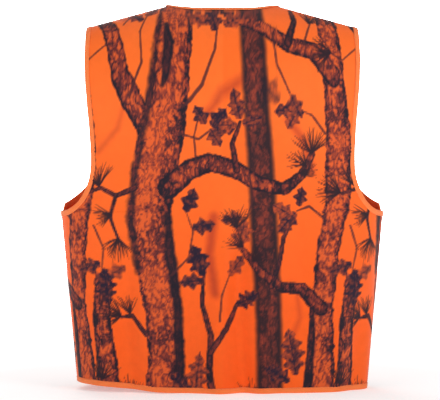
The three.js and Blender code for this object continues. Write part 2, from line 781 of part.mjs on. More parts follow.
// Slider: two plates joined by a web between the rows, with lips round the beads and a bail.
const lipInner = sliderHalf - sliderWrap;
const lipTip = zipTapeThick / 2 + gap;
const quarterSection = [
  [sliderHalf, plateOuter], [sliderHalf, lipTip], [lipInner, lipTip], [lipInner, plateInner],
  [sliderWeb / 2, plateInner],
];
const sliderSection = [
  ...quarterSection,
  ...[...quarterSection].reverse().map(([x, d]) => [x, -d]),
  ...quarterSection.map(([x, d]) => [-x, -d]),
  ...[...quarterSection].reverse().map(([x, d]) => [-x, d]),
].map(([x, d]) => [x, zipY + d]).reverse();
const bailFace = zipY - plateOuter;
const bailFront = bailFace - bailHole - bailBar;
const bail = cutFrom(
  block(-bailHalf, bailHalf, bailFront, bailFace + sliderPlate / 2,
    sliderMiddle - bailLength / 2, sliderMiddle + bailLength / 2),
  block(-bailHalf - 1, bailHalf + 1, bailFace - bailHole, bailFace,
    sliderMiddle - bailLength / 2 + bailPost, sliderMiddle + bailLength / 2 - bailPost),
);
add('slider_body', joined(plateXY(sliderSection, sliderBottom, sliderTop), bail), blackMetal());

// Pull tab: its top bar lies in the bail, its window clears the bail as it turns.
const pullY = bailFace - bailHole / 2;
const pullWindow = Math.hypot(bailLength / 2, bailFront - pullY) + gap;
const barHalf = pullThick / 2;
const pullBottom = sliderMiddle - pullLength;
const pullOutline = [
  [-pullHalf, sliderMiddle + barHalf], [-pullHalf, pullBottom + pullHalf],
  [-pullHalf / 2, pullBottom], [pullHalf / 2, pullBottom],
  [pullHalf, pullBottom + pullHalf], [pullHalf, sliderMiddle + barHalf],
];
const windowHalf = bailHalf + gap;
add('pull_tab', plateXZ(pullOutline, pullY - barHalf, pullY + barHalf,
  rectangle(-windowHalf, windowHalf, sliderMiddle - pullWindow, sliderMiddle - barHalf)), blackMetal());

// ---- Pockets ------------------------------------------------------------------

const pocketStart = fractionAt(pocketInner / chestHalf);
const pocketEnd = pocketStart + pocketWidth / quarterGirth;
const pocketTop = pocketBottom + pocketHeight;
const pocketFloor = panelThick / 2 + pocketSeat;
const pocketFace = pocketFloor + pocketThick;
const flapBottom = pocketTop - flapOverlap;
const flapTop = pocketTop + flapRise;
const flapMargin = flapSide / quarterGirth;
const snapSite = { face: FRONT, p: (pocketStart + pocketEnd) / 2, v: flapBottom + snapAbove };
const flapInside = pocketFace + flapStandOff;

// Grid of sites over a patch of the front, rows listed from the top down.
function patchQuads(p0, p1, heights) {
  const lines = heights.map((v) => {
    const line = [];
    for (let k = 0; k <= pocketColumns; k++) {
      line.push({ face: FRONT, p: p0 + ((p1 - p0) * k) / pocketColumns, v });
    }
    return line;
  });
  return lines.slice(1).flatMap((line, k) => stripQuads(lines[k], line));
}

const pocketHeights = [];
for (let k = 0; k <= pocketRows; k++) {
  pocketHeights.push(pocketTop - (pocketHeight * k) / pocketRows);
}
const pocketQuads = patchQuads(pocketStart, pocketEnd, pocketHeights);
const flapKnee = pocketTop + flapKneeRise;
const flapElbow = snapSite.v + flapElbowRise;
const flapQuads = patchQuads(pocketStart - flapMargin, pocketEnd + flapMargin,
  [flapTop, flapKnee, flapElbow, flapBottom]);
// The flap leaves the panel at its seam, clears the pocket's mouth and stands off at the snap.
function flapLift({ v }) {
  if (v >= flapTop) return pocketFloor;
  if (v >= flapKnee) return pocketFace + 2 * gap;
  return flapInside;
}

for (const [hand, side] of hands) {
  const site = side > 0 ? snapSite : mirrored(snapSite);
  const onSide = (quads) => (side > 0 ? quads : mirrorQuads(quads));
  add(`pocket_${hand}`,
    sheetSolid(onSide(pocketQuads), () => pocketFace, () => pocketFloor), printedOrange());
  add(`pocket_flap_${hand}`,
    sheetSolid(onSide(flapQuads), (at) => flapLift(at) + flapThick, flapLift), printedOrange());
  add(`snap_stud_${hand}`, turnedOn(site, pocketFace + gap,
    [[0, 0], [snapBase, 0], [snapBase, studFoot], [studNeck, studFoot], [studBulge, studHeight - 0.7],
      [studNeck, studHeight], [0, studHeight]]), blackMetal());
  add(`snap_socket_${hand}`, turnedOn(site, flapInside - snapSeat - socketHeight,
    [[socketBore, 0], [snapBase, 0], [snapBase, socketHeight], [socketBore, socketHeight]], true),
  blackMetal());
  add(`snap_cap_${hand}`, turnedOn(site, flapInside + flapThick + snapSeat,
    [[0, 0], [snapRadius, 0], [snapRadius, capRim], [snapBase, capHeight - 0.4],
      [snapBase / 2, capHeight - 0.1], [0, capHeight]]), blackMetal());
}

// ---- Inside the back neck --------------------------------------------------------

const neckTapeEdge = backHalf.neckInset[acrossNeck].v;
const loopSeat = surfaceFrame({ face: BACK, p: 0.0001, v: neckTapeEdge - 2 });
const loopStandOff = panelThick / 2 + gap + loopThick;
const loopTop = loopSeat.place.clone().addScaledVector(loopSeat.normal, -loopStandOff);
const loopInner = loopHalf - loopBand;
const loopOutline = [
  [-loopHalf, 0], [-loopHalf, -loopDrop + loopCorner], [-loopHalf + loopCorner, -loopDrop],
  [loopHalf - loopCorner, -loopDrop], [loopHalf, -loopDrop + loopCorner], [loopHalf, 0],
  [loopInner, 0], [loopInner, -loopDrop + loopBand], [-loopInner, -loopDrop + loopBand],
  [-loopInner, 0],
].map(([x, z]) => [x, loopTop.z + z]);
add('hang_loop', plateXZ(loopOutline, loopTop.y - loopThick / 2, loopTop.y + loopThick / 2), plainOrange());

const labelOffset = panelThick / 2 + gap + facetSag;
const labelTop = neckTapeEdge - labelDrop;
const labelLines = [labelTop, labelTop - labelHeight / 2, labelTop - labelHeight].map((v) => {
  const shares = [-1, -0.5, 0, 0.5, 1];
  return shares.map((share) => ({ face: BACK, p: (share * labelWidth) / 2 / quarterGirth, v }));
});
const labelQuads = [
  ...stripQuads(labelLines[0], labelLines[1]),
  ...stripQuads(labelLines[1], labelLines[2]),
];
add('neck_label',
  sheetSolid(labelQuads, () => -labelOffset, () => -labelOffset - labelThick), labelWhite());

export default vest;
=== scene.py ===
import math
import bpy
import numpy as np
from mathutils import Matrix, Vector


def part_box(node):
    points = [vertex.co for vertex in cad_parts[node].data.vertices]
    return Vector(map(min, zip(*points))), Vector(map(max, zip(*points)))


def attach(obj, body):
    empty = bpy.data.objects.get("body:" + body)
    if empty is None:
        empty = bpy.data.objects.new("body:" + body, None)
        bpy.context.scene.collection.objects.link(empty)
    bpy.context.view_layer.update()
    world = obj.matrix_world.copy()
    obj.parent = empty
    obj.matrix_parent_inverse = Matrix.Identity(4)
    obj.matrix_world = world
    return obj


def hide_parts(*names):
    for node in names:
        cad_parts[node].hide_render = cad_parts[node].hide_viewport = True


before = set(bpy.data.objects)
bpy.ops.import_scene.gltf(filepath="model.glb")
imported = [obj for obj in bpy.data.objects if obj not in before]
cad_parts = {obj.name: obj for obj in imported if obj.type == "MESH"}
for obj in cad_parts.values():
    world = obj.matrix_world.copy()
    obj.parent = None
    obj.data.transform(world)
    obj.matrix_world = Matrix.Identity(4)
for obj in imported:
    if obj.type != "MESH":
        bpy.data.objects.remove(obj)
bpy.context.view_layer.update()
print("frame loaded")

# The vest is seen from straight behind the wearer, by a long lens at chest height.
cameraSetup = {"away": 3.0, "side": 0.0040, "height": 0.336, "lens": 136.8, "sensor": 36, "drift": 0.03}
cameraData = bpy.data.cameras.new("camera")
cameraData.lens = cameraSetup["lens"]
cameraData.sensor_width = cameraSetup["sensor"]
camera = bpy.data.objects.new("camera", cameraData)
camera.location = (cameraSetup["side"] + cameraSetup["drift"], cameraSetup["away"], cameraSetup["height"])
aim = Vector((cameraSetup["side"], 0.0, cameraSetup["height"])) - Vector(camera.location)
camera.rotation_euler = aim.to_track_quat("-Z", "Y").to_euler()
bpy.context.scene.collection.objects.link(camera)
bpy.context.scene.camera = camera


def toLinear(text):
    values = [int(text[i:i + 2], 16) / 255 for i in (1, 3, 5)]
    return tuple(v / 12.92 if v <= 0.04045 else ((v + 0.055) / 1.055) ** 2.4 for v in values) + (1.0,)


# Cut and shape of the vest, metres. Half widths are from its middle, and heights are from its hem.
bodyCut = {
    "backLength": 0.683, "hemHalf": 0.255, "chestHalf": 0.279, "hemDepthBack": 0.100, "chestDepthBack": 0.112,
    "frontDepth": 0.115, "squareness": 2.4, "shoulderHalf": 0.242, "shoulderDrop": 0.040, "neckHalf": 0.095,
    "neckCrown": 0.005, "neckBackReach": 0.042, "underarm": 0.315, "waistHeight": 0.400, "waistHalf": 0.2305,
    "bladeHeight": 0.505, "breastHeight": 0.585, "sideRound": 0.500, "zipHalf": 0.0065, "lift": 0.0011,
    "cloth": 0.0011,
}
back, front = 1, -1
hands = (("left", 1), ("right", -1))
arcTurns = np.linspace(0, np.pi / 2, 401)


def section(turn):
    k = 2 / bodyCut["squareness"]
    return np.clip(np.sin(turn), 0, 1) ** k, np.clip(np.cos(turn), 0, 1) ** k


arcX, arcY = section(arcTurns)
arcSteps = np.hypot(np.diff(arcX) * bodyCut["chestHalf"], np.diff(arcY) * bodyCut["chestDepthBack"])
arcLengths = np.concatenate([[0], np.cumsum(arcSteps)])
quarterGirth = arcLengths[-1]


def fractionAt(share):
    # share of the half width, as a share of the quarter girth
    turn = np.arcsin(np.clip(share, 0, 1) ** (bodyCut["squareness"] / 2))
    return np.interp(turn, arcTurns, arcLengths) / quarterGirth


def turnAt(p):
    # the section's turn at a share of the quarter girth
    return np.interp(np.clip(np.abs(p), 0, 1) * quarterGirth, arcLengths, arcTurns)


def smooth(low, high, x):
    t = np.clip((x - low) / (high - low), 0, 1)
    return t * t * (3 - 2 * t)


def halfWidthAt(z):
    grown = np.clip(z / bodyCut["underarm"], 0, 1)
    return bodyCut["hemHalf"] + (bodyCut["chestHalf"] - bodyCut["hemHalf"]) * grown


def depthAt(face, z):
    grown = np.sin(np.pi / 2 * np.clip(z / bodyCut["bladeHeight"], 0, 1))
    atBack = bodyCut["hemDepthBack"] + (bodyCut["chestDepthBack"] - bodyCut["hemDepthBack"]) * grown
    return np.where(face == back, atBack, bodyCut["frontDepth"])


def ridgeAt(x):
    far = np.abs(x)
    slope = bodyCut["shoulderDrop"] / (bodyCut["shoulderHalf"] - bodyCut["neckHalf"])
    crown = bodyCut["neckCrown"] * (1 - (far / bodyCut["neckHalf"]) ** 2)
    beyond = far - bodyCut["neckHalf"]
    return bodyCut["backLength"] + np.where(beyond > 0, -slope * beyond, crown)


def roundHeightAt(face, p):
    # the height at which the cloth starts to round over to the shoulder
    centre = np.where(face == back, bodyCut["bladeHeight"], bodyCut["breastHeight"])
    return bodyCut["sideRound"] + (centre - bodyCut["sideRound"]) * np.cos(np.abs(p) * np.pi / 2) ** 2


def bodyPoint(face, p, v):
    sx, sy = section(turnAt(p))
    start = roundHeightAt(face, p)
    low = np.minimum(v, start)
    x = np.sign(p) * sx * halfWidthAt(low)
    depth = depthAt(face, low) * sy
    rise = ridgeAt(x) - start
    over = np.clip((v - start) / rise, 0, 1) * np.pi / 2
    y = face * depth * np.cos(over)
    z = low + np.where(v > start, rise * np.sin(over), 0)
    return np.stack([x, y, z + bodyCut["lift"]], axis=-1)


# How the cloth hangs. A fold is (face, place across, low end, high end, half width, height), metres.
hang = {
    "folds": [
        (back, 0.004, -0.05, 0.29, 0.02, 0.0092), (back, -0.034, -0.05, 0.34, 0.017, -0.0105),
        (back, -0.078, -0.05, 0.3, 0.024, 0.0075), (back, -0.135, 0.02, 0.34, 0.022, -0.003),
        (back, -0.2, -0.05, 0.27, 0.03, 0.006), (back, -0.262, -0.05, 0.24, 0.024, -0.0055),
        (back, 0.07, -0.05, 0.22, 0.024, -0.0045), (back, 0.13, -0.05, 0.25, 0.026, 0.005),
        (back, 0.172, -0.05, 0.3, 0.018, -0.0065), (back, 0.236, -0.05, 0.24, 0.026, 0.006),
        (back, 0.15, 0.3, 0.5, 0.036, -0.0045), (back, -0.15, 0.3, 0.5, 0.036, -0.0045),
        (back, 0.045, 0.36, 0.6, 0.04, 0.0022), (back, -0.06, 0.38, 0.6, 0.032, -0.0022),
        (front, 0.06, 0.3, 0.5, 0.026, 0.003), (front, -0.075, 0.32, 0.52, 0.026, 0.003),
        (front, 0.245, -0.05, 0.26, 0.028, 0.0045), (front, -0.245, -0.05, 0.25, 0.026, 0.0045),
        (front, 0.2, 0.24, 0.42, 0.024, -0.003), (front, -0.2, 0.25, 0.42, 0.026, -0.0035),
        (front, 0.15, 0.32, 0.52, 0.034, 0.003), (front, -0.14, 0.33, 0.52, 0.034, 0.0026),
    ],
    "drift": 0.10, "wander": 0.006, "fadeHigh": 0.13, "fadeLow": 0.05, "ripple": 0.0012,
    "hemLift": 0.012, "easeHem": 0.004, "easeArm": 0.009, "easeTop": 0.400,
    "calm": [
        {"face": back, "across": 0.0, "height": 0.640, "wide": 0.045, "tall": 0.060},
        {"face": front, "across": 0.135, "height": 0.235, "wide": 0.085, "tall": 0.050},
        {"face": front, "across": -0.135, "height": 0.235, "wide": 0.085, "tall": 0.050},
    ],
}


def fallen(face, p, v):
    # how far the cloth stands off the smooth body, along its normal
    across = p * quarterGirth
    total = np.zeros(np.broadcast(across, v).shape)
    for side, place, low, high, half, height in hang["folds"]:
        wander = place * (1 + hang["drift"] * np.clip(v, 0, 0.5))
        wander = wander + hang["wander"] * np.sin(v * 17 + place * 40)
        fade = smooth(high, high - hang["fadeHigh"], v) * smooth(low, low + hang["fadeLow"], v)
        total = total + np.where(face == side, height * np.exp(-((across - wander) / half) ** 2) * fade, 0)
    wave = np.sin(across * 41 + v * 6 + 1.3) * np.sin(v * 14 - across * 5 + 0.4)
    wave = wave + 0.6 * np.sin(across * 73 - v * 19)
    total = total + hang["ripple"] * wave * smooth(0.0, 0.1, 1 - np.abs(p))
    # it lies flat behind the hang loop and where the flaps are sewn on
    for spot in hang["calm"]:
        near = ((across - spot["across"]) / spot["wide"]) ** 4 + ((v - spot["height"]) / spot["tall"]) ** 4
        total = total * np.where(face == spot["face"], 1 - np.exp(-near), 1)
    top = ridgeAt(0.2) - 0.02
    total = total * smooth(1.0, 0.90, np.abs(p)) * smooth(top + 0.03, top - 0.09, v)
    return np.where(face == front, total * smooth(0.02, 0.05, np.abs(across)), total)


def outHint(face, p, v):
    # a rough outward way, only for choosing a sign
    point = bodyPoint(face, p, v)
    lift = np.maximum(point[..., 2] - 0.46, 0) * 1.2
    return np.stack([point[..., 0] * 0.4, point[..., 1] + 1e-6 * face, lift], axis=-1)


def surfaceFrame(face, p, v):
    # place and outward normal of the hanging cloth's middle surface
    step = 0.0015
    def raw(dp, dv):
        return bodyPoint(face, p + dp, v + dv)
    sideStep = np.where(np.abs(p) > 0.997, -np.sign(p) * 0.004, 0.0)
    du = raw(sideStep + step * 2, 0) - raw(sideStep - step * 2, 0)
    dv = raw(0, step) - raw(0, -step)
    flat = np.linalg.norm(dv, axis=-1) < 0.002
    dv = np.where(flat[..., None], raw(0, -step * 2) - raw(0, -step * 6), dv)
    normal = np.cross(dv, du)
    normal = normal / np.maximum(np.linalg.norm(normal, axis=-1, keepdims=True), 1e-9)
    normal = normal * np.sign(np.sum(normal * outHint(face, p, v), axis=-1, keepdims=True))
    place = raw(0, 0) + normal * fallen(face, p, v)[..., None]
    # the side edges stand out a little, most of all under the arms
    ease = hang["easeHem"] + (hang["easeArm"] - hang["easeHem"]) * np.clip(v / bodyCut["underarm"], 0, 1)
    place[..., 0] += np.sign(p) * np.abs(p) ** 3 * ease * smooth(hang["easeTop"], bodyCut["underarm"], v)
    # one hem corner rides a little higher than the other
    place[..., 2] += hang["hemLift"] * smooth(0.06, 0.26, place[..., 0]) * smooth(0.30, 0.0, v)
    return place, normal


def lineOn(face, p, v, lift):
    # a line of places that stand off the cloth's middle by lift
    place, normal = surfaceFrame(face, p, v)
    return place + normal * np.asarray(lift)[..., None]


# One repeat of the woodland print, in centimetres of cloth: x to the right over the back, y up from the hem.
# A run is a line of (x, y, half width) points. The artwork is an open wood in general, with no source.
woodPrint = {
    "repeat": 45.5,
    "tall": 72.0,
    "cell": 0.1,
    "seed": 41,
    "barkSize": 0.62,
    # the ground's tone up top and towards the hem: the change between them is painted light, lighter and
    # paler up top where the light falls; the deeper tone also goes into a random mottle
    "ground": "#fc7026",
    "groundDeep": "#fb5a0a",
    "hazeInk": "#a02c18",
    "twigInk": "#4a2226",
    "needleInk": "#2a1620",
    "barkLight": "#dd5a26",
    "barkMid": "#7a2e28",
    "barkDeep": "#1c1220",
    "leafLight": "#c24c26",
    "leafDeep": "#22142a",
    # (strength, softness of the edge, run)
    "hazeLimbs": [
        (0.55, 0.9, [(-3.4, 47.6, 0.5), (-0.4, 51.4, 0.55), (3.6, 53.0, 0.5), (7.0, 56.6, 0.4)]),
        (0.6, 0.8, [(-1.6, 30.6, 0.75), (-2.4, 24.0, 0.7), (-1.4, 17.4, 0.7)]),
        (0.5, 0.8, [(11.4, 47.4, 0.5), (14.2, 43.6, 0.7), (15.6, 38.4, 0.6)]),
        (0.45, 0.8, [(-20.6, 66.6, 0.6), (-17.2, 63.0, 0.7)]),
        (0.4, 0.8, [(-1.0, 69.0, 0.5), (1.2, 65.6, 0.45)]),
        (0.34, 0.7, [(11.6, 66.4, 0.4), (14.6, 63.0, 0.4), (17.0, 65.4, 0.3)]),
        (0.32, 0.7, [(-22.0, 42.0, 0.4), (-18.6, 45.8, 0.4), (-17.0, 50.6, 0.3)]),
        (0.35, 0.7, [(12.6, 9.0, 0.4), (14.2, 13.0, 0.4), (13.4, 17.6, 0.3)]),
    ],
    # name: ((strength, softness of the edge, bark, roughness, warmth), run)
    "limbs": {
        "far trunk": ((0.92, 0.55, 0.5, 0.1, 0.2), [
            (4.4, 73.0, 1.9), (5.2, 58.0, 2.1), (6.4, 42.0, 2.2), (7.2, 28.0, 2.3), (8.4, 12.0, 2.3),
            (9.0, -3.0, 2.4)]),
        "stump": ((1.0, 0.07, 1.0, 0.35, 0.55), [
            (-22.6, 20.2, 0.7), (-22.0, 17.6, 1.5), (-22.4, 11.0, 1.7), (-21.8, 4.0, 2.0),
            (-22.2, -3.0, 2.5)]),
        "side trunk": ((1.0, 0.07, 1.0, 0.35, 0.75), [
            (17.6, 73.0, 1.7), (18.4, 62.0, 1.9), (19.6, 53.0, 2.0), (20.6, 44.0, 2.4),
            (20.2, 34.0, 2.3), (18.8, 25.0, 2.1), (18.0, 15.0, 1.9), (18.6, 6.0, 2.2), (19.0, -3.0, 2.6)]),
        "side root": ((1.0, 0.07, 0.5, 0.2, 0.1), [
            (16.2, 17.0, 0.3), (16.4, 10.0, 0.6), (16.2, 3.0, 0.8), (15.6, -3.0, 1.0)]),
        "high branch": ((1.0, 0.07, 0.8, 0.18, 0.45), [
            (19.4, 53.4, 1.4), (15.6, 56.6, 1.2), (11.2, 57.4, 1.15), (6.2, 60.2, 1.1), (2.0, 61.4, 0.9),
            (-1.8, 65.4, 0.7), (-3.0, 69.6, 0.5)]),
        "high stub": ((1.0, 0.07, 0.4, 0.12, 0.1), [
            (11.4, 57.6, 0.7), (12.6, 61.4, 0.5), (12.0, 64.4, 0.4)]),
        "left limb": ((1.0, 0.07, 0.9, 0.3, 0.5), [
            (-11.4, 43.0, 2.2), (-14.6, 48.6, 1.9), (-18.0, 53.4, 1.7), (-20.0, 60.0, 1.5),
            (-22.4, 66.4, 1.3), (-23.4, 73.0, 1.3)]),
        "great trunk": ((1.0, 0.07, 1.0, 0.4, 0.82), [
            (-6.6, 73.0, 3.0), (-8.2, 63.0, 3.0), (-9.0, 54.0, 3.3), (-10.4, 46.0, 4.0),
            (-12.0, 38.0, 3.9), (-12.8, 30.0, 3.7), (-12.0, 22.0, 3.5), (-10.8, 14.0, 3.2),
            (-10.6, 6.0, 3.2), (-11.4, -3.0, 3.7)]),
        "trunk shade": ((1.0, 0.4, 0.25, 0.3, 0.0), [
            (-9.6, 31.0, 0.5), (-9.2, 24.0, 0.9), (-8.2, 15.0, 0.8), (-8.0, 6.0, 0.9), (-8.6, -3.0, 1.0)]),
        "trunk edge": ((0.9, 0.5, 0.5, 0.3, 0.1), [
            (-11.0, 63.0, 0.35), (-12.0, 55.0, 0.45), (-13.6, 47.0, 0.5), (-15.6, 38.0, 0.55),
            (-16.2, 30.0, 0.6), (-15.2, 21.0, 0.5)]),
        "hollow": ((1.0, 0.3, 0.3, 0.3, 0.0), [
            (-9.8, 60.6, 0.3), (-9.4, 57.4, 0.9), (-9.8, 54.4, 0.8), (-10.4, 52.4, 0.3)]),
        "bough": ((1.0, 0.07, 0.8, 0.22, 0.4), [
            (-9.4, 35.6, 2.0), (-6.0, 38.6, 1.8), (-2.2, 40.0, 1.6), (2.0, 38.8, 1.45), (6.4, 36.2, 1.3),
            (10.6, 35.4, 1.1), (13.8, 37.8, 0.8), (15.6, 41.4, 0.55)]),
        "bough spur": ((1.0, 0.07, 0.5, 0.1, 0.1), [
            (2.4, 38.6, 0.6), (1.6, 43.2, 0.4), (3.0, 47.0, 0.3)]),
        "low bough": ((1.0, 0.07, 0.7, 0.16, 0.3), [
            (17.8, 14.6, 1.3), (14.4, 18.0, 1.1), (10.4, 18.4, 0.9), (6.6, 21.0, 0.75), (3.4, 25.0, 0.5),
            (2.4, 28.6, 0.3)]),
        "sapling": ((1.0, 0.06, 0.5, 0.12, 0.2), [
            (-1.6, -3.0, 0.8), (-2.6, 4.0, 0.65), (-2.2, 10.0, 0.55), (-3.8, 15.6, 0.45),
            (-3.4, 20.6, 0.25)]),
        "sapling arm": ((1.0, 0.06, 0.5, 0.12, 0.2), [
            (-2.4, 7.0, 0.5), (0.6, 11.2, 0.5), (2.6, 15.4, 0.35)]),
        "stick": ((1.0, 0.05, 0.5, 0.08, 0.3), [
            (12.4, 30.6, 0.25), (10.6, 27.0, 0.35), (10.0, 22.6, 0.4), (8.6, 18.6, 0.5)]),
        "pine stem": ((1.0, 0.05, 0.4, 0.08, 0.2), [
            (-15.4, 35.6, 0.5), (-18.6, 34.2, 0.42), (-21.4, 35.6, 0.35), (-24.6, 34.6, 0.25)]),
        "pine twig": ((1.0, 0.05, 0.4, 0.08, 0.2), [
            (-18.6, 34.4, 0.35), (-19.6, 30.4, 0.3), (-18.4, 26.6, 0.25)]),
        "low spur": ((1.0, 0.05, 0.4, 0.08, 0.2), [
            (-14.0, 10.0, 0.5), (-16.6, 13.0, 0.4), (-18.8, 12.6, 0.25)]),
    },
    "twigs": [
        [(-7.0, 49.6, 0.28), (-3.6, 52.4, 0.26), (-1.4, 56.6, 0.2), (-1.0, 59.4, 0.15)],
        [(-7.6, 45.0, 0.2), (-4.2, 44.0, 0.2), (-1.6, 46.0, 0.16)],
        [(-4.6, 39.6, 0.16), (-5.0, 44.4, 0.14), (-4.0, 49.0, 0.1)],
        [(-16.4, 51.0, 0.2), (-14.2, 55.0, 0.18), (-14.6, 59.6, 0.14), (-13.4, 63.0, 0.1)],
        [(-17.6, 61.4, 0.14), (-15.0, 66.0, 0.12), (-15.4, 69.4, 0.1)],
        [(14.2, 57.4, 0.2), (15.4, 61.0, 0.16), (14.6, 64.6, 0.12)],
        [(8.6, 58.8, 0.2), (9.4, 54.6, 0.18), (11.6, 51.4, 0.14)],
        [(18.0, 45.0, 0.2), (15.6, 48.2, 0.18), (13.2, 49.2, 0.12)],
        [(18.0, 30.0, 0.24), (15.0, 32.4, 0.2), (12.8, 31.6, 0.14)],
        [(-0.6, 12.6, 0.2), (-0.2, 17.0, 0.16), (1.2, 20.6, 0.1)],
        [(22.6, 29.0, 0.2), (24.2, 25.0, 0.16), (23.6, 21.4, 0.12)],
        [(4.6, 37.6, 0.2), (5.2, 33.4, 0.16), (4.0, 30.2, 0.12)],
        [(-9.2, 20.4, 0.2), (-6.0, 23.6, 0.18), (-5.2, 28.0, 0.14), (-6.4, 31.6, 0.1)],
        [(-20.8, 57.6, 0.12), (-24.2, 55.4, 0.12), (-26.8, 56.4, 0.1)],
    ],
    # (stalk x, stalk y, length, half width, turn in degrees from up, lobes, tone: 0 dark to 1 warm, haze)
    "leaves": [
        (9.8, 50.6, 4.4, 1.6, 60, 2.5, 0.4, 0.8), (-2.2, 60.8, 5.0, 1.7, 70, 3.5, 0.7, 0.0),
        (0.2, 60.2, 4.4, 1.5, -60, 2.5, 0.6, 0.0), (-1.2, 59.2, 4.6, 1.5, 12, 2.5, 0.2, 0.0),
        (-2.0, 46.2, 4.0, 1.5, -40, 2.5, 0.15, 0.0), (-1.6, 46.0, 3.8, 1.4, -95, 2.5, 0.3, 0.0),
        (-2.2, 45.8, 3.6, 1.4, -150, 2.5, 0.35, 0.0), (-3.0, 46.6, 3.6, 1.4, 30, 2.5, 0.2, 0.0),
        (3.0, 47.4, 4.8, 1.6, 15, 3.5, 0.45, 0.0), (3.4, 46.6, 3.6, 1.3, -70, 2.5, 0.3, 0.0),
        (2.4, 46.6, 3.4, 1.3, 95, 2.5, 0.55, 0.0), (12.6, 31.4, 4.6, 1.6, 140, 3.5, 0.3, 0.0),
        (12.2, 30.6, 4.2, 1.4, 60, 2.5, 0.6, 0.0), (13.2, 32.4, 3.4, 1.2, -10, 2.5, 0.2, 0.0),
        (3.8, 30.0, 5.4, 1.8, 170, 3.5, 0.7, 0.0), (3.4, 30.6, 3.8, 1.3, 100, 2.5, 0.4, 0.0),
        (-6.4, 31.4, 4.4, 1.5, -20, 2.5, 0.1, 0.0), (-5.4, 28.6, 4.2, 1.4, -80, 2.5, 0.25, 0.0),
        (-6.0, 24.0, 3.0, 1.1, -110, 2.5, 0.5, 0.0), (-3.4, 20.4, 5.6, 1.9, 20, 3.5, 0.08, 0.0),
        (-3.6, 19.6, 4.2, 1.4, 95, 2.5, 0.3, 0.0), (1.2, 20.4, 4.2, 1.4, -35, 2.5, 0.6, 0.0),
        (2.6, 15.2, 4.4, 1.5, -60, 3.5, 0.2, 0.0), (-13.4, 63.0, 4.2, 1.4, -30, 2.5, 0.5, 0.0),
        (-14.0, 62.0, 3.8, 1.3, 50, 2.5, 0.3, 0.0), (13.2, 49.2, 4.4, 1.5, 95, 2.5, 0.25, 0.0),
        (13.0, 49.0, 3.8, 1.3, 150, 2.5, 0.5, 0.0), (11.8, 51.2, 4.0, 1.3, -150, 2.5, 0.4, 0.0),
        (24.0, 21.4, 6.6, 1.9, -175, 4.5, 0.1, 0.0), (23.4, 22.4, 4.6, 1.4, 110, 2.5, 0.4, 0.0),
        (13.8, 3.0, 8.4, 2.2, 12, 4.5, 0.45, 0.0), (12.6, 2.0, 5.4, 1.6, 62, 3.5, 0.2, 0.0),
        (-5.4, -1.0, 8.0, 2.1, -8, 4.5, 0.6, 0.0), (-6.0, -1.0, 6.0, 1.7, 40, 3.5, 0.25, 0.0),
        (-17.6, 21.8, 4.4, 1.4, 120, 2.5, 0.6, 0.3), (-16.0, 66.4, 4.6, 1.3, 30, 2.5, 0.6, 0.4),
        (14.2, 65.6, 4.4, 1.3, -40, 2.5, 0.6, 0.4),
    ],
    # (x, y, needle length, first and last turn from up in degrees, needles)
    "sprays": [
        (-21.8, 35.8, 4.6, -40, 62, 24), (-24.8, 34.8, 4.6, 20, 130, 24),
        (-18.4, 26.8, 4.4, 110, 230, 24), (-19.4, 31.0, 3.8, 60, 140, 14),
        (15.6, 41.6, 4.6, -60, 60, 26), (14.6, 39.4, 4.0, 10, 96, 16), (13.4, 38.0, 3.6, -100, -30, 14),
        (2.4, 28.6, 4.4, -50, 60, 22), (3.6, 25.2, 4.0, 10, 90, 16), (5.2, 22.8, 3.6, -80, 0, 14),
        (-18.8, 12.8, 4.6, 20, 130, 24), (-17.2, 13.2, 4.0, -30, 50, 14), (15.2, 61.2, 4.0, -60, 30, 18),
        (14.6, 64.8, 4.4, -40, 70, 20), (5.4, -2.0, 4.8, -40, 64, 22), (-17.6, -2.0, 5.0, -50, 60, 22),
        (22.4, 1.0, 4.6, -60, 40, 22), (-26.4, 56.4, 4.2, 40, 140, 20),
    ],
}


def cloud(x, y, size, seed, octaves=3):
    # lattice noise, 0 to 1, that repeats every 64 cells
    total, weight = 0.0, 0.0
    for k in range(octaves):
        table = np.random.default_rng(seed + k).random((64, 64))
        fx, fy = x * 2 ** k / size, y * 2 ** k / size
        ix, iy = np.floor(fx).astype(int), np.floor(fy).astype(int)
        tx, ty = smooth(0, 1, fx - ix), smooth(0, 1, fy - iy)
        near = table[ix % 64, iy % 64] * (1 - tx) + table[(ix + 1) % 64, iy % 64] * tx
        far = table[ix % 64, (iy + 1) % 64] * (1 - tx) + table[(ix + 1) % 64, (iy + 1) % 64] * tx
        total = total + (near * (1 - ty) + far * ty) * 0.55 ** k
        weight += 0.55 ** k
    return total / weight


def hexTone(text):
    return np.array([int(text[i:i + 2], 16) for i in (1, 3, 5)]) / 255


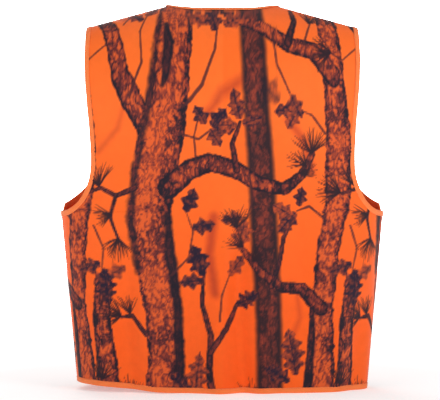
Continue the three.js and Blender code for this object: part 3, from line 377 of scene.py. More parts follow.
class PrintedCloth:
    # one painted repeat of the cloth, a grid of small cells of colour that wraps sideways
    def __init__(self, art):
        self.art = art
        self.cell = art["cell"]
        self.across = int(round(art["repeat"] / self.cell))
        self.up = int(round(art["tall"] / self.cell))
        middles = [(np.arange(count) + 0.5) * self.cell for count in (self.across, self.up)]
        self.gx, self.gy = np.meshgrid(*middles, indexing="ij")
        # a random mottle, plus painted light that leaves the upper cloth lighter and paler and the cloth
        # towards the hem deeper
        mottleAndPaintedLight = 0.35 * cloud(self.gx, self.gy, 16.0, art["seed"], 2) + 0.65 * smooth(62, 4, self.gy)
        mottleAndPaintedLight = mottleAndPaintedLight[..., None]
        self.colour = hexTone(art["ground"]) * (1 - mottleAndPaintedLight) + hexTone(art["groundDeep"]) * mottleAndPaintedLight
        self.ink = np.zeros((self.across, self.up))

    def windows(self, lowX, highX, lowY, highY):
        # the parts of the grid that a box falls on, once for each repeat it touches
        low, high = max(int(lowY / self.cell), 0), min(int(highY / self.cell) + 1, self.up)
        for shift in (-self.art["repeat"], 0, self.art["repeat"]):
            left = max(int((lowX + shift) / self.cell), 0)
            right = min(int((highX + shift) / self.cell) + 1, self.across)
            if left < right and low < high:
                cut = np.s_[left:right, low:high]
                yield cut, self.gx[cut] - shift, self.gy[cut]

    def lay(self, cut, cover, tone, ink):
        self.colour[cut] = self.colour[cut] * (1 - cover[..., None]) + tone * cover[..., None]
        self.ink[cut] = self.ink[cut] * (1 - cover) + ink * cover

    def limb(self, run, soft, rough, seed, toneAt, strength=1.0, ink=1.0):
        # a stretch of wood along a run, each cell toned by its depth and its side of the middle line
        edge = max(w for _, _, w in run) + soft * 2 + rough + 0.2
        xs, ys = [x for x, _, _ in run], [y for _, y, _ in run]
        for cut, x, y in self.windows(min(xs) - edge, max(xs) + edge, min(ys) - edge, max(ys) + edge):
            depth, side = np.full(x.shape, -99.0), np.zeros(x.shape)
            for (ax, ay, aw), (bx, by, bw) in zip(run, run[1:]):
                lx, ly = bx - ax, by - ay
                t = np.clip(((x - ax) * lx + (y - ay) * ly) / (lx * lx + ly * ly), 0, 1)
                away = np.hypot(x - ax - t * lx, y - ay - t * ly)
                width = aw + (bw - aw) * t
                better = width - away > depth
                depth = np.where(better, width - away, depth)
                side = np.where(better, np.sign((x - ax) * ly - (y - ay) * lx) * away / width, side)
            if rough:
                depth = depth + (cloud(x, y, 0.9, seed, 3) - 0.5) * 2 * rough
            self.lay(cut, smooth(-soft, soft, depth) * strength, toneAt(x, y, side), ink)

    def barkTone(self, warm, seed, amount):
        # cracked bark: long dark cracks, broad patches and a fine grain, darker towards both edges
        light, mid, deep = (hexTone(self.art[name]) for name in ("barkLight", "barkMid", "barkDeep"))
        def tone(x, y, side):
            bend = (cloud(x, y, 2.4, seed + 7, 2) - 0.5) * 2.0
            coarse = cloud(x + bend, y * 0.5, self.art["barkSize"], seed, 3)
            patch = cloud(x, y * 0.6, 2.4, seed + 3, 3)
            fine = cloud(x * 1.4, y, 0.26, seed + 11, 2)
            dark = smooth(0.60, 0.92, 1 - np.abs(2 * coarse - 1)) * 0.6 + smooth(0.42, 0.7, patch) * 0.35
            dark = (dark + (fine - 0.5) * 0.9) * amount + (1 - amount) * 0.55
            dark = dark + smooth(0.55, 1.0, np.abs(side)) * 0.55 + smooth(-0.1, -0.9, side) * 0.2
            dark = np.clip(dark + (0.5 - warm) * 0.75, 0, 1)[..., None]
            return np.where(dark < 0.5, light + (mid - light) * dark * 2, mid + (deep - mid) * (dark * 2 - 1))
        return tone

    def leaf(self, stalkX, stalkY, length, half, turn, lobes, warm, haze, seed):
        # a lobed leaf with a dark midrib, ribs and a mottled blade
        a = math.radians(turn)
        cx, cy = stalkX - math.sin(a) * length / 2, stalkY + math.cos(a) * length / 2
        reach = length * 0.56 + half
        for cut, x, y in self.windows(cx - reach, cx + reach, cy - reach, cy + reach):
            dx, dy = x - stalkX, y - stalkY
            along = (-dx * math.sin(a) + dy * math.cos(a)) / length
            across = dx * math.cos(a) + dy * math.sin(a)
            wobble = (cloud(x, y, 0.8, seed, 2) - 0.5) * 0.5
            body = np.clip(np.sin(np.pi * np.clip(along, 0, 1) ** 0.85), 0, 1) ** 0.75
            wave = np.cos(2 * np.pi * lobes * along + np.sign(across) * 0.6 + wobble * 3)
            lobe = 1 + (0.30 if lobes else 0.0) * wave
            edge = half * body * lobe * 0.86 - np.abs(across) + wobble * half * 0.4
            soft = 0.08 + haze * 0.7
            cover = smooth(-soft, soft, edge) * (along > -0.02) * (along < 1.03) * (1 - 0.45 * haze)
            vein = smooth(0.16, 0.02, np.abs(across)) * 0.5
            rib = smooth(0.75, 1.0, np.cos(2 * np.pi * (along * 7 - np.abs(across) / half * 1.2))) * 0.25
            mottle = (cloud(x, y, 0.45, seed + 5, 3) - 0.5) * 1.5
            dark = np.clip(1 - warm + vein + rib + mottle - 0.1, 0, 1)[..., None]
            light, deep = hexTone(self.art["leafLight"]), hexTone(self.art["leafDeep"])
            self.lay(cut, cover, light + (deep - light) * dark, 1.0)

    def paint(self):
        # far things first: haze, blurred leaves, limbs, twigs, leaves, then needles
        art = self.art
        def flatTone(name):
            return lambda x, y, side: hexTone(art[name])
        for i, (strength, soft, run) in enumerate(art["hazeLimbs"]):
            self.limb(run, soft, 0.1, 300 + i, flatTone("hazeInk"), strength, 0.5)
        self.paintLeaves(True)
        for i, ((strength, soft, bark, rough, warm), run) in enumerate(art["limbs"].values()):
            self.limb(run, soft, rough, 100 + 9 * i, self.barkTone(warm, 200 + 17 * i, bark), strength)
        for i, run in enumerate(art["twigs"]):
            self.limb(run, 0.05, 0.06, 700 + i, flatTone("twigInk"), 0.85)
        self.paintLeaves(False)
        rng = np.random.default_rng(art["seed"])
        for x, y, length, first, last, count in art["sprays"]:
            for k in range(count):
                share = (k + rng.uniform(-0.4, 0.4)) / max(count - 1, 1)
                turn = math.radians(first + (last - first) * share)
                size, bend = length * rng.uniform(0.65, 1.0), rng.uniform(-0.25, 0.25)
                tip = (x - math.sin(turn) * size, y + math.cos(turn) * size)
                middle = ((x + tip[0]) / 2 + math.cos(turn) * bend, (y + tip[1]) / 2 + math.sin(turn) * bend)
                needle = [(x, y, 0.1), (*middle, 0.09), (*tip, 0.03)]
                self.limb(needle, 0.055, 0.0, 5, flatTone("needleInk"), 0.85)

    def paintLeaves(self, hazy):
        for i, item in enumerate(self.art["leaves"]):
            if (item[-1] > 0) == hazy:
                self.leaf(*item, 500 + i)

    def sample(self, x, y):
        # colour and ink at places on the cloth, x and y in metres
        fx = (x * 100 / self.cell - 0.5) % self.across
        fy = np.clip(y * 100 / self.cell - 0.5, 0, self.up - 1.001)
        ix, iy = np.floor(fx).astype(int), np.floor(fy).astype(int)
        tx, ty = (fx - ix)[..., None], (fy - iy)[..., None]
        full = np.concatenate([self.colour, self.ink[..., None]], axis=2)
        low = full[ix % self.across, iy] * (1 - tx) + full[(ix + 1) % self.across, iy] * tx
        high = full[ix % self.across, iy + 1] * (1 - tx) + full[(ix + 1) % self.across, iy + 1] * tx
        return low * (1 - ty) + high * ty


cloth = PrintedCloth(woodPrint)
cloth.paint()
print("woodland print painted")


def addNode(tree, kind, settings=None, links=None):
    node = tree.nodes.new(kind)
    for name, value in (settings or {}).items():
        if isinstance(name, str) and hasattr(node, name):
            setattr(node, name, value)
        else:
            node.inputs[name].default_value = value
    for name, source in (links or {}).items():
        tree.links.new(source, node.inputs[name])
    return node


def newMaterial(name, shader):
    material = bpy.data.materials.new(name)
    material.use_nodes = True
    tree = material.node_tree
    surface = tree.nodes["Principled BSDF"]
    for key, value in shader.items():
        surface.inputs[key].default_value = value
    return material, tree, surface


def weaveBump(tree, surface, across, along, depth):
    # two crossed sets of yarns, as a height that the light picks out, read from the cloth's own flat map
    place = addNode(tree, "ShaderNodeUVMap", {"uv_map": "cloth"})
    yarns = []
    for direction, spacing in (("X", across), ("Y", along)):
        # a wave node draws 20 bands over 2 pi units at a scale of 1
        yarns.append(addNode(tree, "ShaderNodeTexWave", {
            "bands_direction": direction, "Scale": 2 * math.pi / (20 * spacing), "Distortion": 0.6,
            "Detail": 1.0, "Detail Scale": 2.0}, {"Vector": place.outputs[0]}).outputs["Fac"])
    both = addNode(tree, "ShaderNodeMath", {"operation": "ADD"}, {0: yarns[0], 1: yarns[1]})
    slub = addNode(tree, "ShaderNodeTexNoise", {
        "Scale": 60.0, "Detail": 4.0, "Roughness": 0.6}, {"Vector": place.outputs[0]})
    height = addNode(tree, "ShaderNodeMath", {
        "operation": "MULTIPLY_ADD", 1: 1.6}, {0: slub.outputs["Fac"], 2: both.outputs[0]})
    bump = addNode(tree, "ShaderNodeBump", {
        "Strength": 0.55, "Distance": depth}, {"Height": height.outputs[0]})
    tree.links.new(bump.outputs[0], surface.inputs["Normal"])
    return slub, both


# Woven polyester, dyed and heat printed: a smooth plain cloth with a faint gloss, duller where ink lies.
# The yarns are 0.35 mm apart in the cloth and are drawn 1.8 mm apart, as finer ones don't show.
printedPolyester, tree, surface = newMaterial("wovenPolyesterHeatPrinted", {
    "Sheen Weight": 0.05, "Sheen Roughness": 0.45, "Specular IOR Level": 0.22, "IOR": 1.5})
slub, both = weaveBump(tree, surface, 0.0018, 0.0020, 0.00012)
inked = addNode(tree, "ShaderNodeAttribute", {"attribute_name": "print"})
fade = addNode(tree, "ShaderNodeMapRange", {
    "From Min": 0.3, "From Max": 0.7, "To Min": 0.955, "To Max": 1.03}, {"Value": slub.outputs["Fac"]})
toned = addNode(tree, "ShaderNodeVectorMath", {
    "operation": "SCALE"}, {0: inked.outputs["Color"], "Scale": fade.outputs[0]})
tree.links.new(toned.outputs[0], surface.inputs["Base Color"])
dull = addNode(tree, "ShaderNodeMapRange", {
    "To Min": 0.56, "To Max": 0.68}, {"Value": inked.outputs["Alpha"]})
tree.links.new(dull.outputs[0], surface.inputs["Roughness"])


def plainWoven(name, light, deep, shader, across, along, depth, spread):
    # undyed variation: two close tones mixed by the slubs, and painted shade that leaves it a little darker
    # between the yarns and a touch lighter on them
    material, tree, surface = newMaterial(name, shader)
    slub, both = weaveBump(tree, surface, across, along, depth)
    mixed = addNode(tree, "ShaderNodeMix", {
        "data_type": "RGBA", 6: toLinear(deep), 7: toLinear(light)}, {"Factor": slub.outputs["Fac"]})
    # painted shade: darker between the yarns, a touch lighter on their crests
    yarnPaintedShade = addNode(tree, "ShaderNodeMapRange", {
        "From Max": 2.0, "To Min": 1 - spread, "To Max": 1 + spread / 2}, {"Value": both.outputs[0]})
    toned = addNode(tree, "ShaderNodeVectorMath", {
        "operation": "SCALE"}, {0: mixed.outputs[2], "Scale": yarnPaintedShade.outputs[0]})
    tree.links.new(toned.outputs[0], surface.inputs["Base Color"])
    return material


# Plain woven polyester binding, cut straight and folded: matt. Its ribs are 0.6 mm apart, drawn at 1 mm.
bindingTape = plainWoven("ribbedPolyesterBinding", "#ff8a48", "#f8702a", {
    "Roughness": 0.68, "Sheen Weight": 0.15, "Specular IOR Level": 0.3}, 0.0010, 0.0022, 0.00022, 0.05)
# Knitted polyester zip tape: fine ribs along its length give a soft even shine.
zipTapeCloth = plainWoven("knittedPolyesterZipTape", "#f8793a", "#e8602a", {
    "Roughness": 0.72, "Sheen Weight": 0.1, "Specular IOR Level": 0.3}, 0.0009, 0.0014, 0.0002, 0.08)
# Satin woven label, blank: pale, close and slightly glossy.
labelSatin = plainWoven("satinWovenLabel", "#f2efe8", "#dcd8ce", {
    "Roughness": 0.42, "Sheen Weight": 0.1, "Specular IOR Level": 0.4}, 0.0008, 0.0010, 0.0001, 0.04)
# Spun polyester sewing thread: a twisted yarn, a shade lighter than the cloth, with a soft gloss.
sewingThread, tree, surface = newMaterial("spunPolyesterThread", {
    "Roughness": 0.5, "Sheen Weight": 0.2, "Specular IOR Level": 0.35})
place = addNode(tree, "ShaderNodeTexCoord")
twist = addNode(tree, "ShaderNodeTexNoise", {
    "Scale": 900.0, "Detail": 2.0}, {"Vector": place.outputs["Object"]})
shade = addNode(tree, "ShaderNodeMix", {
    "data_type": "RGBA", 6: toLinear("#ee6a2c"), 7: toLinear("#ff9a5c")}, {"Factor": twist.outputs["Fac"]})
tree.links.new(shade.outputs[2], surface.inputs["Base Color"])


def hardFinish(name, light, deep, shader, size, bumpDepth):
    # a hard surface with a faint grain of the given size in its tone, gloss and height
    material, tree, surface = newMaterial(name, shader)
    place = addNode(tree, "ShaderNodeTexCoord")
    grain = addNode(tree, "ShaderNodeTexNoise", {
        "Scale": 1 / size, "Detail": 5.0, "Roughness": 0.6}, {"Vector": place.outputs["Object"]})
    shade = addNode(tree, "ShaderNodeMix", {
        "data_type": "RGBA", 6: toLinear(deep), 7: toLinear(light)}, {"Factor": grain.outputs["Fac"]})
    tree.links.new(shade.outputs[2], surface.inputs["Base Color"])
    rough = addNode(tree, "ShaderNodeMapRange", {
        "From Min": 0.3, "From Max": 0.7, "To Min": shader["Roughness"] - 0.06,
        "To Max": shader["Roughness"] + 0.08}, {"Value": grain.outputs["Fac"]})
    tree.links.new(rough.outputs[0], surface.inputs["Roughness"])
    bump = addNode(tree, "ShaderNodeBump", {
        "Strength": 0.3, "Distance": bumpDepth}, {"Height": grain.outputs["Fac"]})
    tree.links.new(bump.outputs[0], surface.inputs["Normal"])
    return material


# Acetal, injection moulded: a near-black satin plastic with a faint moulded grain.
mouldedAcetal = hardFinish("injectionMouldedAcetal", "#2b2b2e", "#17171a", {
    "Roughness": 0.42, "IOR": 1.48}, 0.0006, 0.00003)
# Zinc die casting under black stoved enamel: a smooth hard gloss, a touch greyer where hands rub it.
enamelledZinc = hardFinish("blackEnamelledZinc", "#3a3a3e", "#1a1a1d", {
    "Roughness": 0.3, "Coat Weight": 0.4, "Coat Roughness": 0.2}, 0.0015, 0.00002)
print("materials ready")


def makePiece(name, points, faces, material, uv=None, tone=None):
    mesh = bpy.data.meshes.new(name)
    mesh.from_pydata(np.asarray(points).tolist(), [], faces)
    mesh.materials.append(material)
    index = np.empty(len(mesh.loops), dtype=np.int32)
    mesh.loops.foreach_get("vertex_index", index)
    if uv is not None:
        layer = mesh.uv_layers.new(name="cloth")
        layer.data.foreach_set("uv", np.asarray(uv, dtype=np.float32)[index].ravel())
    if tone is not None:
        layer = mesh.color_attributes.new("print", "FLOAT_COLOR", "POINT")
        rgb = np.clip(tone[:, :3], 0, 1)
        linear = np.where(rgb <= 0.04045, rgb / 12.92, ((rgb + 0.055) / 1.055) ** 2.4)
        inks = np.concatenate([linear, tone[:, 3:4]], axis=1)
        layer.data.foreach_set("color", inks.astype(np.float32).ravel())
    mesh.polygons.foreach_set("use_smooth", np.full(len(mesh.polygons), True))
    mesh.update()
    piece = bpy.data.objects.new(name, mesh)
    bpy.context.scene.collection.objects.link(piece)
    return piece


def declare(piece, body, node=None):
    # what the piece moves with, and which plain solid it stands for, which is then hidden
    if node:
        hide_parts(node)
    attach(piece, body)


def gridFaces(rows, columns, start=0, wrap=False):
    i = np.arange(rows - 1)[:, None] * columns
    j = np.arange(columns if wrap else columns - 1)[None, :]
    a = (start + i + j).ravel()
    b = (start + i + (j + 1) % columns).ravel()
    return np.stack([a, b, b + columns, a + columns], axis=1)


def closedSheet(name, outer, inner, uv, material, tone=None, every=4):
    # two skins joined round the rim: a fine outer one, and an inner one with only some rows and columns
    rows, columns = outer.shape[:2]
    pickR = sorted(set(range(0, rows, every)) | {rows - 1})
    pickC = sorted(set(range(0, columns, every)) | {columns - 1})
    across, up, start = len(pickC), len(pickR), rows * columns
    top, last = (rows - 1) * columns, start + up * across
    faces = [tuple(f) for f in gridFaces(rows, columns).tolist()]
    faces += [tuple(f) for f in gridFaces(up, across, start)[:, ::-1].tolist()]
    edges = [
        (range(columns), range(start, start + across), pickC, False),
        (range(columns - 1, start, columns), range(start + across - 1, last, across), pickR, False),
        (range(top, start), range(last - across, last), pickC, True),
        (range(0, start, columns), range(start, last, across), pickR, True),
    ]
    for fine, coarse, picks, turned in edges:
        for k, (low, high) in enumerate(zip(picks, picks[1:])):
            fan = [(fine[m + 1], fine[m], coarse[k]) for m in range(low, high)]
            fan.append((coarse[k], coarse[k + 1], fine[high]))
            faces += [f[::-1] for f in fan] if turned else fan
    r, c = rows // 2, columns // 2
    facing = np.cross(outer[r, c + 1] - outer[r, c], outer[r + 1, c] - outer[r, c])
    if np.dot(facing, outer[r, c] - inner[r, c]) < 0:
        faces = [f[::-1] for f in faces]
    picked = np.ix_(pickR, pickC)
    points = np.concatenate([outer.reshape(-1, 3), inner[picked].reshape(-1, 3)])
    flatUv = np.concatenate([uv.reshape(-1, 2), uv[picked].reshape(-1, 2)])
    tones = None
    if tone is not None:
        tones = np.concatenate([tone.reshape(-1, 4), strikeThrough(tone[picked]).reshape(-1, 4)])
    return makePiece(name, points, faces, material, flatUv, tones)


def strikeThrough(tone, share=0.12):
    # the inner side: an orange ground with a little of the ink coming through
    ground = np.array([*hexTone("#ff7034"), 0.0])
    return tone * share + ground * (1 - share)


# the armholes: how far they fall and reach in, and how much wider the front hangs under the arm
armCut = {"rise": 0.085, "reach": 0.0485, "tipCurve": 0.8, "frontSpread": 0.032, "frontGap": 0.004}


def armholeEdge(face, lowSteps, highSteps):
    # (x, z) of the edge from the underarm up to the shoulder tip
    turn = np.linspace(np.pi / 2, 0, lowSteps + 1)
    x = bodyCut["chestHalf"] - armCut["reach"] * np.cos(turn)
    if face == front:
        spread = x + armCut["frontSpread"] * np.sin(turn) ** 1.5
        x = np.minimum(spread, bodyCut["chestHalf"] - armCut["frontGap"] * np.cos(turn))
    z = bodyCut["waistHeight"] - armCut["rise"] * np.sin(turn)
    tipZ = ridgeAt(bodyCut["shoulderHalf"])
    highZ = np.linspace(bodyCut["waistHeight"], tipZ, highSteps + 1)[1:]
    curved = armCut["tipCurve"] * (tipZ - bodyCut["waistHeight"])
    grown = smooth(0, 1, (highZ - bodyCut["waistHeight"]) / curved)
    highX = bodyCut["waistHalf"] + (bodyCut["shoulderHalf"] - bodyCut["waistHalf"]) * grown
    return np.concatenate([x, highX]), np.concatenate([z, highZ])


def placeOnPanel(face, x, z):
    p = fractionAt(x / bodyCut["chestHalf"])
    start = roundHeightAt(face, p)
    rise = ridgeAt(x) - start
    over = start + rise * 2 / np.pi * np.arcsin(np.clip((z - start) / rise, 0, 1))
    return p, np.where(z > start, over, z)


def neckHeight(face, p):
    # top edge of a panel as a height along it
    sx, sy = section(turnAt(p))
    x = sx * bodyCut["chestHalf"]
    start = roundHeightAt(face, p)
    rise = ridgeAt(x) - start
    if face == back:
        share = np.clip(x / bodyCut["neckHalf"], 0, 1)
        reach = bodyCut["neckBackReach"] * np.sqrt(1 - share ** 3)
        turned = np.arccos(np.clip(reach / (depthAt(back, start) * sy), 0, 1))
    else:
        share = np.clip((x - bodyCut["zipHalf"]) / (bodyCut["neckHalf"] - bodyCut["zipHalf"]), 0, 1)
        turned = np.pi / 2 * share ** 1.3
    return start + rise * np.where(x < bodyCut["neckHalf"], turned * 2 / np.pi, 1.0)


def panelGrid(face, rows, columns, hand=0):
    # (p, v) of a panel: rows from hem to shoulder, columns across
    lowRows, armRows = int(rows * 0.44), int(rows * 0.20)
    armX, armZ = armholeEdge(face, armRows, rows - lowRows - armRows)
    armP, armV = placeOnPanel(face, armX, armZ)
    sideV = np.concatenate([np.linspace(0, bodyCut["underarm"], lowRows, endpoint=False), armV])
    sideP = np.concatenate([np.ones(lowRows), armP])
    blend = smooth(0.50, 1.0, sideV / sideV[-1]) ** 1.3
    neckP = fractionAt(bodyCut["neckHalf"] / bodyCut["chestHalf"])
    tipP = sideP[-1]
    if face == back:
        corner, reach = neckP / tipP, columns // 2
        mid = int(columns / 2 * corner)
    else:
        zipP = fractionAt(bodyCut["zipHalf"] / halfWidthAt(sideV))
        zipTop = fractionAt(bodyCut["zipHalf"] / bodyCut["chestHalf"])
        corner, reach = (neckP - zipTop) / (tipP - zipTop), columns
        mid = int(columns * corner)
    # one column runs to the corner of the neck
    s = np.concatenate([np.linspace(0, corner, mid + 1), np.linspace(corner, 1, reach - mid + 1)[1:]])
    if face == back:
        s = np.concatenate([-s[::-1], s[1:]])
        p = sideP[:, None] * s[None, :]
    else:
        p = (zipP[:, None] + s[None, :] * (sideP - zipP)[:, None]) * hand
    v = sideV[:, None] + (neckHeight(face, p[-1]) - sideV[-1])[None, :] * blend[:, None]
    return p, v


# how far each front's stretch of cloth lies along the roll from the back's, left then right
frontShifts = (0.115, 0.205)


def clothUv(face, p, v):
    # the cloth laid flat, metres; the fronts carry other stretches of the same print
    across = -p * quarterGirth
    if face == back:
        return np.stack([across, v], axis=-1)
    return np.stack([np.where(p > 0, *frontShifts) - across, v - 0.02], axis=-1)


panelMake = {"rows": 292, "backColumns": 312, "frontColumns": 150, "backFlat": (0.66, 0.73), "backArea": 0.39,
             "frontFlat": (0.33, 0.71), "frontArea": 0.19}


def makePanel(name, face, columns, hand):
    p, v = panelGrid(face, panelMake["rows"], columns, hand)
    place, normal = surfaceFrame(face, p, v)
    uv = clothUv(face, p, v)
    tone = cloth.sample(uv[..., 0], uv[..., 1])
    half = bodyCut["cloth"] / 2
    piece = closedSheet(name, place + normal * half, place - normal * half, uv, printedPolyester, tone)
    declare(piece, "vest", name.replace("cloth", "panel"))


makePanel("back_cloth", back, panelMake["backColumns"], 0)
for hand, side in hands:
    makePanel("front_cloth_" + hand, front, panelMake["frontColumns"], side)
print("panels cut")


# Folded tape round every raw edge, metres. The folded section gives its reach in from the cloth's edge as
# shares of the tape's width, and its height off the cloth's middle in millimetres.
tapeMake = {
    "armWidth": 0.0092, "hemWidth": 0.0088, "neckWidth": 0.0080, "pitch": 0.0032, "fold": 0.00105,
    "section": [(1.0, 0.62), (0.97, 1.15), (0.72, 1.55), (0.36, 1.66), (0.03, 1.45), (-0.06, 1.0)],
    "inside": [(0.0003, -0.0006), (-0.0003, 0), (0.0003, 0.0006)],
    "pucker": 0.00028, "puckerLength": 0.0068, "slow": 0.00025, "slowLength": 0.047,
    "seamShare": 0.86, "seamLift": 0.00172,
}


def armholePath():
    pBack, vBack = placeOnPanel(back, *armholeEdge(back, 44, 76))
    pFront, vFront = placeOnPanel(front, *armholeEdge(front, 44, 76))
    face = np.concatenate([np.full(len(pBack), back), np.full(len(pFront) - 2, front)])
    return face, np.concatenate([pBack, pFront[::-1][1:-1]]), np.concatenate([vBack, vFront[::-1][1:-1]])


def neckPath():
    edge = fractionAt(bodyCut["neckHalf"] / bodyCut["chestHalf"])
    start = fractionAt(bodyCut["zipHalf"] / bodyCut["chestHalf"])
    frontP = start + (edge - start) * np.linspace(0, 1, 60)
    backP = edge * np.cos(np.linspace(0, np.pi, 91))[1:-1]
    p = np.concatenate([frontP, backP, -frontP[::-1]])
    face = np.concatenate([np.full(60, front), np.full(89, back), np.full(60, front)])
    frontV = neckHeight(front, frontP)
    return face, p, np.concatenate([frontV, neckHeight(back, backP), frontV[::-1]])


def hemPath():
    start = fractionAt(bodyCut["zipHalf"] / bodyCut["hemHalf"])
    frontP = np.linspace(start, 1, 120)
    backP = np.linspace(1, -1, 241)
    p = np.concatenate([frontP, backP[1:-1], -frontP[::-1]])
    face = np.concatenate([np.full(120, front), np.full(239, back), np.full(120, front)])
    return face, p, np.zeros(len(p))


def alongPath(face, p, v, closed, inside):
    # evenly spaced places along an edge with the outward normal and the way into the panel
    place, normal = surfaceFrame(face, p, v)
    if closed:
        place, normal = np.concatenate([place, place[:1]]), np.concatenate([normal, normal[:1]])
    gone = np.concatenate([[0], np.cumsum(np.linalg.norm(np.diff(place, axis=0), axis=1))])
    at = np.linspace(0, gone[-1], int(gone[-1] / tapeMake["pitch"]) + 1)
    place, normal = (np.stack([np.interp(at, gone, line[:, k]) for k in range(3)], axis=1)
                     for line in (place, normal))
    if closed:
        place, normal, at = place[:-1], normal[:-1], at[:-1]
    spread = 3
    kernel = np.ones(2 * spread + 1) / (2 * spread + 1)
    def eased(values):
        padded = np.pad(values, ((spread, spread), (0, 0)), mode="wrap" if closed else "edge")
        return np.stack([np.convolve(padded[:, k], kernel, "valid") for k in range(3)], axis=1)
    normal = eased(normal)
    if closed:
        tangent = eased(np.roll(place, -1, axis=0) - np.roll(place, 1, axis=0))
    else:
        tangent = eased(np.gradient(place, axis=0))
    tangent /= np.linalg.norm(tangent, axis=1, keepdims=True)
    normal -= tangent * np.sum(normal * tangent, axis=1, keepdims=True)
    normal /= np.linalg.norm(normal, axis=1, keepdims=True)
    inward = np.cross(normal, tangent)
    middle = len(place) // 3
    if np.dot(inward[middle], inside(place[middle]) - place[middle]) < 0:
        inward = -inward
    return place, normal, inward, at


def capFaces(row, top):
    # closes the U-shaped end of a tape in pieces across its wall
    outside, inside = row[:2 * top + 1], [row[2 * top + k] for k in (3, 2, 1)]
    cap = [(outside[j + 1], outside[j], inside[0]) for j in range(top)]
    cap.append((inside[1], outside[top], inside[0]))
    cap += [(outside[j + 1], outside[j], inside[2]) for j in range(top, 2 * top)]
    cap[-top] = (outside[top + 1], outside[top], inside[2])
    return cap + [(outside[top], inside[1], inside[2])]


def makeTape(name, path, closed, width, inside, node):
    # returns the two seam lines that run just inside the tape's free edges
    place, normal, inward, at = alongPath(*path, closed, inside)
    outer = [(d * width, h / 1000) for d, h in tapeMake["section"]]
    ring = outer + [(-tapeMake["fold"], 0.0)] + [(d, -h) for d, h in outer[::-1]] + tapeMake["inside"]
    wave = np.sin(at * 2 * np.pi / tapeMake["puckerLength"] + 1.7 * np.sin(at * 31)) * tapeMake["pucker"]
    slow = np.sin(at * 2 * np.pi / tapeMake["slowLength"] + 0.6) * tapeMake["slow"]
    girth = np.concatenate([[0], np.cumsum([math.dist(a, b) for a, b in zip(ring, ring[1:])])])
    points, uv = [], []
    for (d, h), gone in zip(ring, girth):
        puff = np.sign(h) * (wave * (0.3 < d / width < 0.99) + slow)
        sway = slow * 0.8 * (d / width > 0.9)
        points.append(place + inward * (d + sway)[:, None] + normal * (h + puff)[:, None])
        uv.append(np.stack([np.full(len(at), gone), at], axis=1))
    points, uv = np.stack(points, axis=1), np.stack(uv, axis=1)
    n, size = points.shape[:2]
    faces = []
    for k in range(n if closed else n - 1):
        for j in range(size):
            a, b = k * size + j, k * size + (j + 1) % size
            faces.append((a, b, (b + size) % (n * size), (a + size) % (n * size)))
    if not closed:
        faces += capFaces(range(size), len(outer))
        faces += [f[::-1] for f in capFaces(range((n - 1) * size, n * size), len(outer))]
    a, b, c = points[n // 2, 2], points[n // 2, 3], points[n // 2 + 1, 2]
    if np.dot(np.cross(b - a, c - a), normal[n // 2]) < 0:
        faces = [f[::-1] for f in faces]
    piece = makePiece(name, points.reshape(-1, 3), faces, bindingTape, uv.reshape(-1, 2))
    declare(piece, "vest", node)
    seam, lift = place + inward * (width * tapeMake["seamShare"]), normal * tapeMake["seamLift"]
    return [(seam + lift, closed), (seam - lift, closed)]


def intoArm(point):
    return point * np.array([0.8, 1.4, 1.0])


def downNeck(point):
    return point + np.array([point[0] * 0.3, np.sign(point[1]) * 0.02, -0.03])


def upHem(point):
    return np.array([point[0] * 0.96, point[1], 0.2])


seams = []
armFace, armP, armV = armholePath()
for hand, side in hands:
    seams += makeTape("armhole_tape_" + hand, (armFace, armP * side, armV), True, tapeMake["armWidth"],
                      intoArm, "armhole_binding_" + hand)
seams += makeTape("neck_tape", neckPath(), False, tapeMake["neckWidth"], downNeck, "neck_binding")
seams += makeTape("hem_tape", hemPath(), False, tapeMake["hemWidth"], upHem, "hem_binding")
print("edges bound")


def makePatch(name, face, p, v, lowLift, highLift, material, printShift=None, every=2):
    # a closed sheet whose two faces stand off the panel's middle by lowLift and highLift
    place, normal = surfaceFrame(face, p, v)
    uv = clothUv(face, p, v)
    tone = None
    if printShift is not None:
        tone = cloth.sample(uv[..., 0] + printShift, uv[..., 1] + 0.06)
    outer, inner = (place + normal * np.asarray(lift)[..., None] for lift in (highLift, lowLift))
    return closedSheet(name, outer, inner, uv, material, tone, every)


# Patch pockets with flaps, metres. A seam inset is how far a row of stitches runs inside an edge.
pocketMake = {
    "inner": 0.038, "width": 0.140, "bottom": 0.048, "height": 0.165, "seat": 0.0013, "thick": 0.0011,
    "sag": 0.0009, "corner": 0.012, "cornerShare": 0.75, "rows": 84, "columns": 72, "flat": (0.14, 0.165),
    "seamInsets": (0.0022, 0.0085), "mouthSeam": 0.012, "shifts": {"left": 0.19, "right": 0.08},
}
flapMake = {
    "over": 0.032, "rise": 0.013, "side": 0.004, "thick": 0.0013, "topLift": 0.0018, "kneeLift": 0.0021,
    "endLift": 0.0071, "nip": 0.006, "rows": 46, "flat": (0.148, 0.045), "topInset": 0.0022,
    "seamInsets": (0.0022, 0.0080), "topSeams": (0.0025, 0.0070), "shifts": {"left": 0.02, "right": 0.27},
}
pocketStart = fractionAt(pocketMake["inner"] / bodyCut["chestHalf"])
pocketEnd = pocketStart + pocketMake["width"] / quarterGirth
pocketTop = pocketMake["bottom"] + pocketMake["height"]
flapTop, flapBottom = pocketTop + flapMake["rise"], pocketTop - flapMake["over"]


